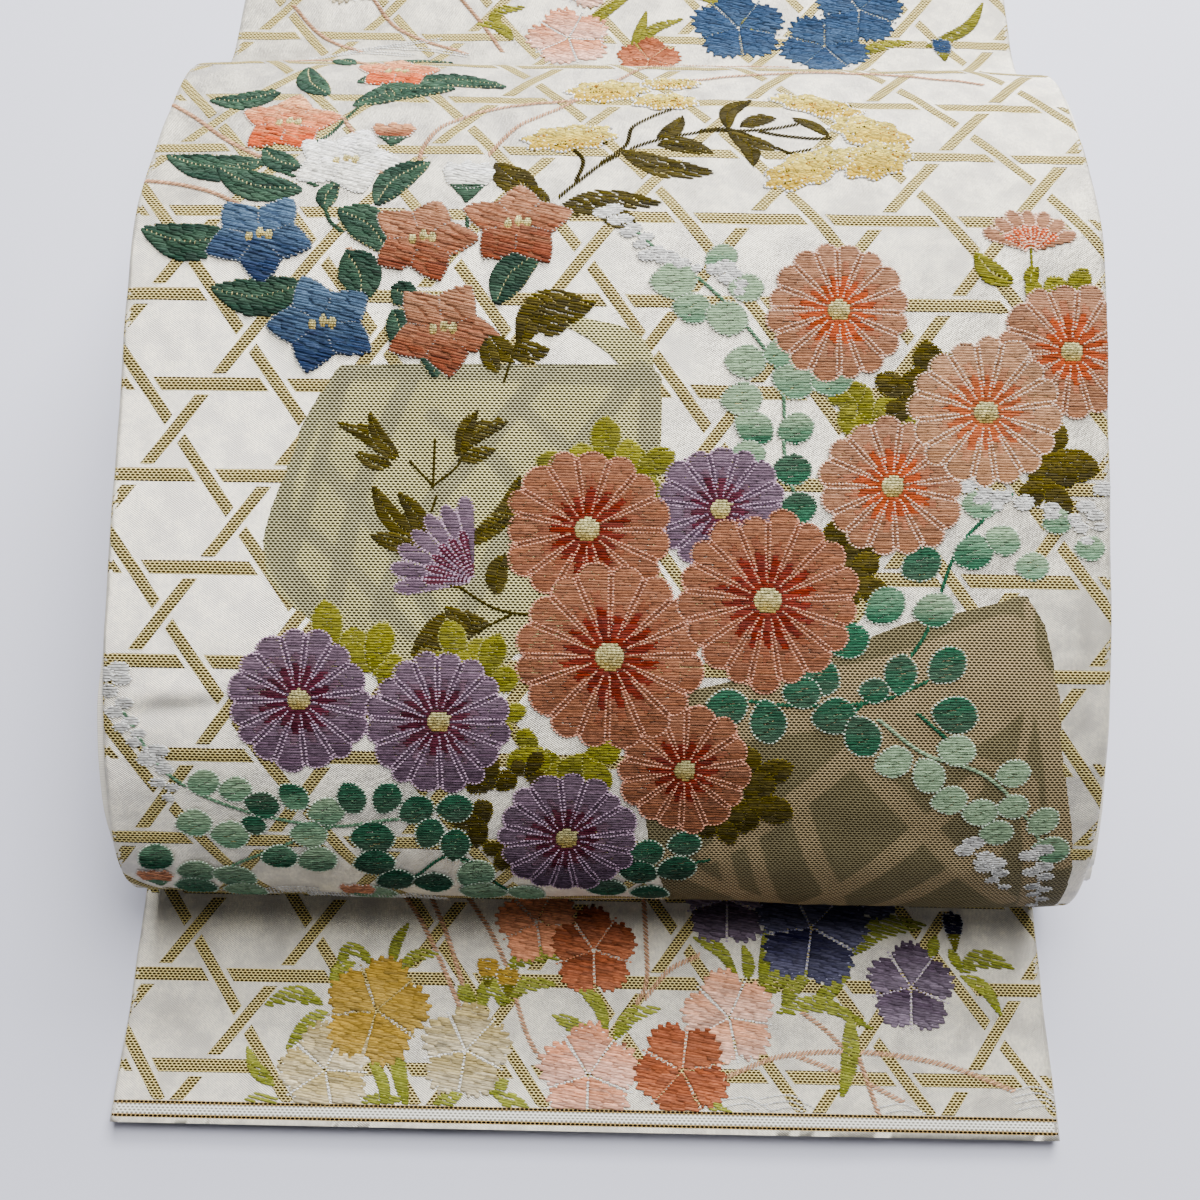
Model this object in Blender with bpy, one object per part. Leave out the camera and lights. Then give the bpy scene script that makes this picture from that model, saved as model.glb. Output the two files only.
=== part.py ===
"""A fukuro obi, folded for display: tail, raised drum and top run over the rest of its length.

The obi is one long flat tube, sewn down both edges from a figured front cloth and a plain back cloth.
It starts at the tail's tip, lies flat under everything, and turns back inside the heap. It comes out again as
the soft roll at the drum's lower edge, climbs over the drum's crest and runs level to the far end, where it
turns down into the folded layers that hold the drum up.

Each stretch that shows is two walls, front cloth and back cloth. The hidden layers are one rounded solid
with the separate layers modelled at its sides and at its far end.

Frame: metres, +Z up, +X across the cloth, +Y from the tail's tip towards the top run.
The origin is on the surface that the obi lies on, under the middle of its box.
"""

import math

import bpy

# Driving sizes, in metres.
OBI_WIDTH = 0.310
CLOTH = 0.0010          # wall of the front cloth, and of the back cloth
GAP = 0.0003            # clearance between touching pieces
LAYERED_CLOTH = 2 * CLOTH + GAP

HALF_LENGTH = 0.229     # from the origin to the tail's tip, and to the far end
TIP_LIFT = 0.003        # how far the tail's tip stands off the surface
TIP_LIFT_RUN = 0.045    # length of tail that rises to it

# The stretches lie a little askew of each other: the middle of each at y = 0, and the cover's run to +X
# for each metre of y.
TAIL_CENTRE_X = -0.00475
DRUM_CENTRE_X = 0.0006
TOP_RUN_CENTRE_X = 0.0026
COVER_SKEW = 0.0094

COLUMNS_ACROSS = 6
TAIL_ROWS_LIFTED = 8
TAIL_ROWS_FLAT = 6
STATION_SPACING = 0.0085
SHARP_ANGLE = math.radians(25.0)

# Upper face of the front cloth from the hidden start of the roll to the far end: name, y, z.
COVER_LINE = (
    ("tucked_end", -0.098, 0.0050),
    ("roll_underside", -0.130, 0.0032),
    ("roll_lower_front", -0.152, 0.0100),
    ("roll_front", -0.1572, 0.0245),
    ("roll_upper_front", -0.1510, 0.0410),
    ("lower_face", -0.1420, 0.0510),
    ("lower_shoulder", -0.1200, 0.0670),
    ("shoulder", -0.0920, 0.0795),
    ("middle_face", -0.0520, 0.0905),
    ("upper_face", -0.0110, 0.1010),
    ("below_crest", 0.0180, 0.1085),
    ("crest", 0.0450, 0.1125),
    ("beyond_crest", 0.0750, 0.1085),
    ("back_shoulder", 0.1040, 0.1005),
    ("brow", 0.1290, 0.0895),
    ("back_slope", 0.1430, 0.0745),
    ("slope_foot", 0.1560, 0.0615),
    ("top_run_start", 0.1720, 0.0570),
    ("top_run_end", 0.2040, 0.0560),
    ("far_bend_top", 0.2170, 0.0555),
    ("far_bend_shoulder", 0.2255, 0.0515),
    ("far_bend_front", 0.2290, 0.0445),
    ("far_bend_underside", 0.2250, 0.0372),
)
FIRST_OVER_HEAP = "roll_upper_front"    # the heap's near end stops here and its upper face starts
SPLIT_AT = "slope_foot"                 # the drum ends here and the top run starts

# The heap: folded double layers, seen at the sides and at the far end.
FAR_BENDS = 4                   # fold bends stacked at the far end, below the top run's own bend
FAR_BEND_LOWEST = 0.0026
FAR_BEND_HIGHEST = 0.0352
SAMPLES_PER_BEND = 4
HEAP_STATIONS = 34
HEAP_HALF_WIDTH = 0.1540
HEAP_CLEARANCE = 0.0012         # air between the heap and the cover round it
LAYER_GROOVE = 0.0035           # depth of the grooves between layer edges
HEAP_EDGE_ROUNDING = 0.0050     # how far the top and bottom edges draw in
TUCK_STEP_RUN = 0.016           # length in which the heap comes down past the drum's tucked end


def reset_scene():
    """Empties the scene."""
    for item in list(bpy.data.objects):
        bpy.data.objects.remove(item)


def make_material(name, color, roughness):
    """A Principled material of one colour."""
    material = bpy.data.materials.new(name)
    material.use_nodes = True
    shader = material.node_tree.nodes["Principled BSDF"]
    shader.inputs["Base Color"].default_value = (*color, 1.0)
    shader.inputs["Roughness"].default_value = roughness
    shader.inputs["Metallic"].default_value = 0.0
    return material


def smoothstep(value):
    """0 at 0, 1 at 1, level at both ends."""
    value = min(max(value, 0.0), 1.0)
    return value * value * (3.0 - 2.0 * value)


def mix(a, b, share):
    """The point that share of the way from a to b."""
    return tuple(p + (q - p) * share for p, q in zip(a, b))


def smooth_line(points, spacing):
    """A smooth line through (y, z) points, as stations about spacing apart."""
    line = []
    last = len(points) - 1
    for i in range(last):
        before, start, end = points[max(i - 1, 0)], points[i], points[i + 1]
        after = points[min(i + 2, last)]
        pieces = max(2, round(math.dist(start, end) / spacing))
        for step in range(pieces):
            line.append(spline_point(before, start, end, after, step / pieces))
    line.append(points[last])
    return line


def spline_point(before, start, end, after, share):
    """A point on the Catmull-Rom curve from start to end, with tangents scaled to the chord."""
    chord = math.dist(start, end)
    tangent_start = [(q - p) * chord / math.dist(before, end) for p, q in zip(before, end)]
    tangent_end = [(q - p) * chord / math.dist(start, after) for p, q in zip(start, after)]
    square, cube = share**2, share**3
    weights = (2 * cube - 3 * square + 1, 3 * square - 2 * cube, cube - 2 * square + share, cube - square)
    return tuple(
        weights[0] * p + weights[1] * q + weights[2] * u + weights[3] * v
        for p, q, u, v in zip(start, end, tangent_start, tangent_end)
    )


def moved_in(line, depth):
    """The line moved by depth towards its right-hand side, which is the inside of the cover."""
    moved = []
    for i, (y, z) in enumerate(line):
        before, after = line[max(i - 1, 0)], line[min(i + 1, len(line) - 1)]
        length = math.dist(before, after)
        along_y, along_z = (after[0] - before[0]) / length, (after[1] - before[1]) / length
        moved.append((y + along_z * depth, z - along_y * depth))
    return moved


def add_object(name, vertices, faces, material):
    """A mesh object of those faces."""
    mesh = bpy.data.meshes.new(name)
    mesh.from_pydata(vertices, [], faces)
    mesh.materials.append(material)
    mesh.shade_smooth()
    mesh.set_sharp_from_angle(angle=SHARP_ANGLE)
    item = bpy.data.objects.new(name, mesh)
    bpy.context.scene.collection.objects.link(item)
    return item


def cloth_wall(name, line, depth, centre_x, skew, material):
    """A wall of cloth across the obi's width, whose upper face lies depth below the line."""
    upper = moved_in(line, depth)
    lower = moved_in(line, depth + CLOTH)
    columns = [OBI_WIDTH * (i / COLUMNS_ACROSS - 0.5) for i in range(COLUMNS_ACROSS + 1)]
    rings = []
    for (upper_y, upper_z), (lower_y, lower_z) in zip(upper, lower):
        middle = centre_x + skew * upper_y
        ring = [(middle + x, upper_y, upper_z) for x in columns]
        ring += [(middle + x, lower_y, lower_z) for x in reversed(columns)]
        rings.append(ring)
    vertices = [point for ring in rings for point in ring]
    size = len(rings[0])
    faces = []
    for row in range(len(rings) - 1):
        for i in range(size):
            j = (i + 1) % size
            faces.append((row * size + i, row * size + j, (row + 1) * size + j, (row + 1) * size + i))
    for start, turned in ((0, True), ((len(rings) - 1) * size, False)):
        for i in range(COLUMNS_ACROSS):
            quad = (start + i, start + i + 1, start + size - 2 - i, start + size - 1 - i)
            faces.append(tuple(reversed(quad)) if turned else quad)
    return add_object(name, vertices, faces, material)


def tail_line():
    """Upper face of the tail: lifted at its tip, then flat under the heap to the far end."""
    line = []
    rise_end = -HALF_LENGTH + TIP_LIFT_RUN
    for row in range(TAIL_ROWS_LIFTED):
        share = row / TAIL_ROWS_LIFTED
        lift = TIP_LIFT * (1.0 - smoothstep(share))
        line.append((-HALF_LENGTH + TIP_LIFT_RUN * share, LAYERED_CLOTH + lift))
    for row in range(TAIL_ROWS_FLAT + 1):
        share = row / TAIL_ROWS_FLAT
        line.append((rise_end + (HALF_LENGTH - rise_end) * share, LAYERED_CLOTH))
    return line


def build_cloth(name, line, centre_x, skew, front_material, back_material):
    """The two walls of one stretch: the front cloth, and the back cloth under it."""
    cloth_wall(name + "_front_cloth", line, 0.0, centre_x, skew, front_material)
    cloth_wall(name + "_back_cloth", line, CLOTH + GAP, centre_x, skew, back_material)


def cover_stretch(first="tucked_end", last="far_bend_underside"):
    """Stations of the cover's line between two named points of its table."""
    places = {name: (y, z) for name, y, z in COVER_LINE}
    line = smooth_line(list(places.values()), STATION_SPACING)
    start, stop = (line.index(places[name]) for name in (first, last))
    return line[start:stop + 1]


def shortened(line, length, at_start):
    """The line with one end pulled back by length."""
    if at_start:
        share = length / math.dist(line[0], line[1])
        return [mix(line[0], line[1], share)] + line[1:]
    share = length / math.dist(line[-1], line[-2])
    return line[:-1] + [mix(line[-1], line[-2], share)]


def at_share(line, share):
    """The point at that share of the line's length."""
    lengths = [math.dist(p, q) for p, q in zip(line, line[1:])]
    wanted = share * sum(lengths)
    for i, length in enumerate(lengths):
        if wanted <= length or i == len(lengths) - 1:
            return mix(line[i], line[i + 1], min(wanted / length, 1.0))
        wanted -= length


def far_end_line():
    """The heap's far end, bottom to top: half-round bends, then the inside of the top run's bend."""
    line = []
    step = (FAR_BEND_HIGHEST - FAR_BEND_LOWEST) / FAR_BENDS
    for bend in range(FAR_BENDS):
        centre_z = FAR_BEND_LOWEST + step * (bend + 0.5)
        for sample in range(SAMPLES_PER_BEND):
            angle = math.pi * (sample / SAMPLES_PER_BEND - 0.5)
            y = HALF_LENGTH - step / 2 - GAP + step / 2 * math.cos(angle)
            line.append((y, centre_z + step / 2 * math.sin(angle)))
    inside = moved_in(cover_stretch("far_bend_top"), LAYERED_CLOTH + HEAP_CLEARANCE)
    line += list(reversed(inside))
    return line


def build_heap(material):
    """The hidden layers as one solid inside the cover, with grooves between the layers' edges."""
    inside = moved_in(cover_stretch("roll_underside", "far_bend_top"), LAYERED_CLOTH + HEAP_CLEARANCE)
    first = cover_stretch("roll_underside", FIRST_OVER_HEAP)
    near = inside[:len(first)]
    top = inside[len(first) - 1:]
    far = far_end_line()
    over_tuck = moved_in(cover_stretch(last="roll_underside"), LAYERED_CLOTH + HEAP_CLEARANCE)
    past_tuck = (over_tuck[0][0] + TUCK_STEP_RUN, far[0][1])
    bottom = list(reversed(over_tuck)) + [past_tuck, far[0]]
    levels = len(far)
    vertices = []
    for level in range(levels):
        rise = level / (levels - 1)
        inset = LAYER_GROOVE * (level % 2)
        edge = min(rise, 1.0 - rise) * levels / 2
        inset += HEAP_EDGE_ROUNDING * (1.0 - smoothstep(edge))
        half = HEAP_HALF_WIDTH - inset
        stations = []
        for station in range(HEAP_STATIONS + 1):
            run = station / HEAP_STATIONS
            stations.append(coons_point(bottom, top, near, far, run, level, rise))
        vertices += [(DRUM_CENTRE_X + COVER_SKEW * y - half, y, z) for y, z in stations]
        vertices += [(DRUM_CENTRE_X + COVER_SKEW * y + half, y, z) for y, z in reversed(stations)]
    return add_object("folded_layers", vertices, heap_faces(levels), material)


def coons_point(bottom, top, near, far, run, level, rise):
    """A point of the surface patch between four lines that share their corners."""
    low, high = at_share(bottom, run), at_share(top, run)
    start, end = at_share(near, rise), far[level]
    point = []
    for axis in range(2):
        across = low[axis] * (1 - rise) + high[axis] * rise
        along = start[axis] * (1 - run) + end[axis] * run
        corners = (
            (1 - run) * (1 - rise) * bottom[0][axis]
            + run * (1 - rise) * bottom[-1][axis]
            + (1 - run) * rise * top[0][axis]
            + run * rise * top[-1][axis]
        )
        point.append(across + along - corners)
    return tuple(point)


def heap_faces(levels):
    """Walls between the stacked loops, and strips across the lowest and the highest loop."""
    size = 2 * (HEAP_STATIONS + 1)
    faces = []
    for level in range(levels - 1):
        for i in range(size):
            j = (i + 1) % size
            low, high = level * size, (level + 1) * size
            faces.append((low + j, low + i, high + i, high + j))
    top = (levels - 1) * size
    for i in range(HEAP_STATIONS):
        faces.append((i, i + 1, size - 2 - i, size - 1 - i))
        faces.append((top + size - 1 - i, top + size - 2 - i, top + i + 1, top + i))
    return faces


def main():
    """Builds the obi."""
    reset_scene()
    front = make_material("figured_front_cloth", (0.83, 0.79, 0.71), 0.45)
    back = make_material("plain_back_cloth", (0.86, 0.83, 0.76), 0.50)
    build_cloth("tail", tail_line(), TAIL_CENTRE_X, 0.0, front, back)
    drum = shortened(cover_stretch(last=SPLIT_AT), GAP / 2, at_start=False)
    build_cloth("drum", drum, DRUM_CENTRE_X, COVER_SKEW, front, back)
    top_run = shortened(cover_stretch(first=SPLIT_AT), GAP / 2, at_start=True)
    build_cloth("top_run", top_run, TOP_RUN_CENTRE_X, COVER_SKEW, front, back)
    build_heap(back)


main()
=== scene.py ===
"""Looks of the folded fukuro obi: ivory figured silk, plain back cloth, gold lattice and woven flowers.

Every point of the cloth has two measures in millimetres: u, across from the middle of the cloth, and s,
along it from the tail's tip. A Stretch turns (u, s) and a lift above the cloth into a place in the row's
frame, in metres.
"""
import math

import bmesh
import bpy
import numpy as np
from mathutils import Matrix, Vector


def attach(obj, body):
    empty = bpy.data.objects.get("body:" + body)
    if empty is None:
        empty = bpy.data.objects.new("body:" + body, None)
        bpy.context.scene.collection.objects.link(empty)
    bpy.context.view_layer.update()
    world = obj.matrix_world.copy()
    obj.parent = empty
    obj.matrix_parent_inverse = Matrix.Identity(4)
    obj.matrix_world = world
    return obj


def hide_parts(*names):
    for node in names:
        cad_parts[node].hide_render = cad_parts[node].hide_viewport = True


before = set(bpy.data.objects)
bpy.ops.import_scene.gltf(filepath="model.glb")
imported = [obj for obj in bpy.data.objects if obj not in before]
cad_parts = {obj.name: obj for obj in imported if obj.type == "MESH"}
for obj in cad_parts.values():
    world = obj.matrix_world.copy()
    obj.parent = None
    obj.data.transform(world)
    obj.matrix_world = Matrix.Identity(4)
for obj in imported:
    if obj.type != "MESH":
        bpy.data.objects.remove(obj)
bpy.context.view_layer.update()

MM = 0.001
OBI_WIDTH = 310.0
HALF_WIDTH = OBI_WIDTH / 2
CLOTH = 1.0                     # thickness of each cloth
GAP = 0.3                       # between the front cloth and the back cloth
THINNEST = 0.3                  # share of its thickness that cloth keeps where it is pressed on the table

# Upper face of the drum's and top run's front cloth, in the CAD's own sizes: name, y, z, in metres.
COVER_LINE = (
    ("tucked_end", -0.098, 0.0050),
    ("roll_underside", -0.130, 0.0032),
    ("roll_lower_front", -0.152, 0.0100),
    ("roll_front", -0.1572, 0.0245),
    ("roll_upper_front", -0.1510, 0.0410),
    ("lower_face", -0.1420, 0.0510),
    ("lower_shoulder", -0.1200, 0.0670),
    ("shoulder", -0.0920, 0.0795),
    ("middle_face", -0.0520, 0.0905),
    ("upper_face", -0.0110, 0.1010),
    ("below_crest", 0.0180, 0.1085),
    ("crest", 0.0450, 0.1125),
    ("beyond_crest", 0.0750, 0.1085),
    ("back_shoulder", 0.1040, 0.1005),
    ("brow", 0.1290, 0.0895),
    ("back_slope", 0.1430, 0.0745),
    ("slope_foot", 0.1560, 0.0615),
    ("top_run_start", 0.1720, 0.0570),
    ("top_run_end", 0.2040, 0.0560),
    ("far_bend_top", 0.2170, 0.0555),
    ("far_bend_shoulder", 0.2255, 0.0515),
    ("far_bend_front", 0.2290, 0.0445),
    ("far_bend_underside", 0.2250, 0.0372),
)
COVER_SPACING = 0.0005          # between the stations of the cover's course
COVER_START = 816.0             # s where the cover comes out of the heap
TAIL_CENTRE = -4.75             # x of each stretch's middle at y = 0
DRUM_CENTRE = 0.6
COVER_SKEW = 0.0094             # x gained for each unit of y
TAIL_TIP = -0.229               # y of the tail's tip, in metres
TAIL_FAR_END = 0.222            # y of its far end, in metres
TIP_LIFT = 3.0                  # how far the tip stands off the table
TIP_LIFT_RUN = 45.0             # length over which the tail comes down

# The gold lattice: three families of bars, one across the cloth and two slanting.
BAR_PITCH = 28.985              # s between bars that run across
FIRST_BAR = 17.7                # s of the one nearest to the tail's tip
CROSSING_PITCH = 42.1           # u between crossings of the slanting bars
FIRST_CROSSING = -136.6         # u of a crossing in the odd rows
BAR_WIDTH = 4.0
SLANTED_SHARE = 0.94            # of the bar width, for the two slanting families
LEVEL_SHARE = 1.08              # of the bar width, for the bars across
BAR_CLEAR = 1.4                 # ground left between a bar and the one that passes over it
LATTICE_COLUMNS = range(-2, 9)

PICK = 0.85                     # s between rows of floating weft
TIE_PITCH = (1.45, 0.84)        # u and s between the dark points that tie gilt weft down

# Relief of the cloth's surface, in millimetres.
SWELL_LENGTH, SWELL_HEIGHT = 70.0, 0.55
BLISTER_LENGTH, BLISTER_COUNT = 16.0, 9
EDGE_START, EDGE_RUN = 118.0, 37.0          # u where an edge starts to wander, and u to its full wander
EDGE_LENGTH, EDGE_HEIGHT, EDGE_DROP = 45.0, 0.9, 0.7
EDGE_STRETCH = 0.3                          # how fast the wander changes across the cloth
HEM_WIDTH, HEM_ROUNDING = 1.6, 0.9
CREASE_SPAN, CREASE_FADE = 0.92, 0.7        # share of a half wave, and its power, along a crease
SWAY_LENGTH = 190.0


# ---------------------------------------------------------------- helpers

def srgb(red, green, blue):
    """A linear colour from 0-255 display values."""
    values = np.array([red, green, blue], float) / 255
    return np.where(values <= 0.04045, values / 12.92, ((values + 0.055) / 1.055) ** 2.4)


def smoothstep(value):
    """0 below 0, 1 above 1, smooth between."""
    value = np.clip(value, 0.0, 1.0)
    return value * value * (3.0 - 2.0 * value)


class Waves:
    """A soft uneven field: a few plane waves with random headings and phases."""

    SPREAD = (0.6, 1.7)     # of the wavelengths

    def __init__(self, seed, wavelength, count=7):
        rng = np.random.default_rng(seed)
        heading = rng.uniform(0, math.tau, count)
        length = wavelength * rng.uniform(*self.SPREAD, count)
        self.u = math.tau * np.cos(heading) / length
        self.s = math.tau * np.sin(heading) / length
        self.phase = rng.uniform(0, math.tau, count)

    def __call__(self, u, s):
        total = sum(np.sin(a * u + b * s + c) for a, b, c in zip(self.u, self.s, self.phase))
        return total / len(self.u)


def smooth_line(points, spacing):
    """Stations about spacing apart on the curve through (y, z) points, as in the CAD part."""
    points = np.array(points, float)
    line = []
    last = len(points) - 1
    for i in range(last):
        before, start, end = points[max(i - 1, 0)], points[i], points[i + 1]
        after = points[min(i + 2, last)]
        chord = np.linalg.norm(end - start)
        leave = (end - before) * chord / np.linalg.norm(end - before)
        arrive = (after - start) * chord / np.linalg.norm(after - start)
        t = np.linspace(0, 1, max(2, round(chord / spacing)), endpoint=False)[:, None]
        line.append(
            (2 * t**3 - 3 * t**2 + 1) * start + (3 * t**2 - 2 * t**3) * end
            + (t**3 - 2 * t**2 + t) * leave + (t**3 - t**2) * arrive
        )
    line.append(points[-1:])
    return np.concatenate(line)


# ---------------------------------------------------------------- the cloth's course

CREASES = (
    # stretch, from u, from s, to u, to s, depth (a ridge if negative), width
    ("cover", -150, 957, -112, 961, 0.7, 2.4),
    ("cover", -150, 963, -118, 966, -0.8, 3.5),
    ("cover", 118, 1100, 124, 1072, 0.9, 2.6),
    ("cover", 126, 1104, 132, 1070, -0.9, 3.4),
    ("cover", -130, 1030, -96, 1052, 0.7, 6.0),
    ("cover", -140, 1086, -112, 1098, 0.6, 5.0),
    ("cover", 40, 1130, 110, 1142, 0.7, 7.0),
    ("cover", 12, 1056, 30, 1068, -0.5, 5.0),
    ("cover", -60, 1200, 30, 1196, 0.5, 6.0),
    ("cover", 60, 925, 130, 918, 0.5, 6.0),
    ("cover", -40, 890, 60, 884, 0.6, 7.0),
    ("cover", -120, 1280, -60, 1272, 0.6, 6.0),
    ("cover", 20, 1290, 120, 1284, 0.5, 7.0),
    ("cover", -90, 1236, 80, 1240, 0.8, 6.0),
    ("tail", -120, 62, -96, 40, 0.5, 5.0),
    ("tail", 112, 70, 138, 44, 0.5, 6.0),
    ("tail", -40, 10, 60, 6, 0.3, 5.0),
)


class Stretch:
    """A stretch of the cloth along a line in the y-z plane, with the soft unevenness of its surface.

    start is its first s, centre and skew place its middle in x, puff is the height of its fine blisters, and
    sway is how far it wanders sideways.
    """

    def __init__(self, name, line, start, centre, skew, seed, puff=0.35, sway=0.0):
        self.line = np.array(line, float) / MM
        step = np.linalg.norm(np.diff(self.line, axis=0), axis=1)
        self.s = start + np.concatenate(([0.0], np.cumsum(step)))
        tangent = np.gradient(self.line, self.s, axis=0)
        self.tangent = tangent / np.linalg.norm(tangent, axis=1, keepdims=True)
        self.centre = centre
        self.skew = skew
        self.puff = puff
        self.sway = sway
        self.swell = Waves(seed, SWELL_LENGTH)
        self.blister = Waves(seed + 1, BLISTER_LENGTH, BLISTER_COUNT)
        self.edge_wave = Waves(seed + 2, EDGE_LENGTH)
        self.creases = [row[1:] for row in CREASES if row[0] == name]

    def relief(self, u, s):
        """Height of the cloth's surface over its even course."""
        height = SWELL_HEIGHT * self.swell(u, s) + self.puff * self.blister(u, s)
        near_edge = smoothstep((np.abs(u) - EDGE_START) / EDGE_RUN)
        height = height + near_edge * (EDGE_HEIGHT * self.edge_wave(u * EDGE_STRETCH, s) - EDGE_DROP)
        hem = np.clip((np.abs(u) - HALF_WIDTH + HEM_WIDTH) / HEM_WIDTH, 0, 1)
        height = height - HEM_ROUNDING * hem**2
        for u0, s0, u1, s1, depth, width in self.creases:
            along = ((u - u0) * (u1 - u0) + (s - s0) * (s1 - s0)) / ((u1 - u0) ** 2 + (s1 - s0) ** 2)
            inside = np.clip(along, 0, 1)
            away = np.hypot(u - u0 - inside * (u1 - u0), s - s0 - inside * (s1 - s0))
            fade = np.sin(np.pi * np.clip(0.5 + (along - 0.5) * CREASE_SPAN, 0, 1)) ** CREASE_FADE
            height = height - depth * fade * np.exp(-(away / width) ** 2)
        return height

    def place(self, u, s, lift=0.0):
        """The point (u, s), lift above the cloth, in the row's frame in metres."""
        u, s, lift = np.broadcast_arrays(np.asarray(u, float), np.asarray(s, float), np.asarray(lift, float))
        y = np.interp(s, self.s, self.line[:, 0])
        z = np.interp(s, self.s, self.line[:, 1])
        along_y = np.interp(s, self.s, self.tangent[:, 0])
        along_z = np.interp(s, self.s, self.tangent[:, 1])
        height = self.relief(u, s) + lift
        x = self.centre + self.skew * y + u + self.sway * np.sin(s / SWAY_LENGTH + 1.0)
        return np.stack([x, y - along_z * height, z + along_y * height], axis=-1) * MM


def tail_line():
    """The tail: lifted at its tip, then flat under everything to the far end."""
    y = np.linspace(TAIL_TIP, TAIL_FAR_END, 300)
    rise = smoothstep((y - TAIL_TIP) / (TIP_LIFT_RUN * MM))
    return np.stack([y, (2 * CLOTH + GAP + TIP_LIFT * (1 - rise)) * MM], axis=1)


cover_line = smooth_line([row[1:] for row in COVER_LINE], COVER_SPACING)
TAIL = Stretch("tail", tail_line(), start=0.0, centre=TAIL_CENTRE, skew=0.0, seed=11)
COVER = Stretch("cover", cover_line, start=COVER_START, centre=DRUM_CENTRE, skew=COVER_SKEW, seed=21)


def mesh_object(name, points, quads, material, cloth, colours=None):
    """A smooth mesh object of quads, with each point's (u, s) in cloth and its linear RGB in colours."""
    mesh = bpy.data.meshes.new(name)
    quads = np.asarray(quads, np.int32)
    mesh.vertices.add(len(points))
    mesh.vertices.foreach_set("co", np.ascontiguousarray(points, np.float32).ravel())
    mesh.loops.add(quads.size)
    mesh.loops.foreach_set("vertex_index", quads.ravel())
    mesh.polygons.add(len(quads))
    mesh.polygons.foreach_set("loop_start", np.arange(len(quads), dtype=np.int32) * 4)
    mesh.update(calc_edges=True)
    mesh.validate()
    mesh.polygons.foreach_set("use_smooth", np.full(len(mesh.polygons), True))
    corner = np.empty(len(mesh.loops), np.int32)
    mesh.loops.foreach_get("vertex_index", corner)
    layer = mesh.uv_layers.new(name="cloth")
    layer.uv.foreach_set("vector", np.asarray(cloth, np.float32)[corner].ravel())
    if colours is not None:
        attribute = mesh.color_attributes.new("thread", "FLOAT_COLOR", "POINT")
        rgba = np.concatenate([colours, np.ones((len(colours), 1))], axis=1)
        attribute.data.foreach_set("color", rgba.astype(np.float32).ravel())
    mesh.materials.append(material)
    item = bpy.data.objects.new(name, mesh)
    bpy.context.scene.collection.objects.link(item)
    return item


# ---------------------------------------------------------------- materials

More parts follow.
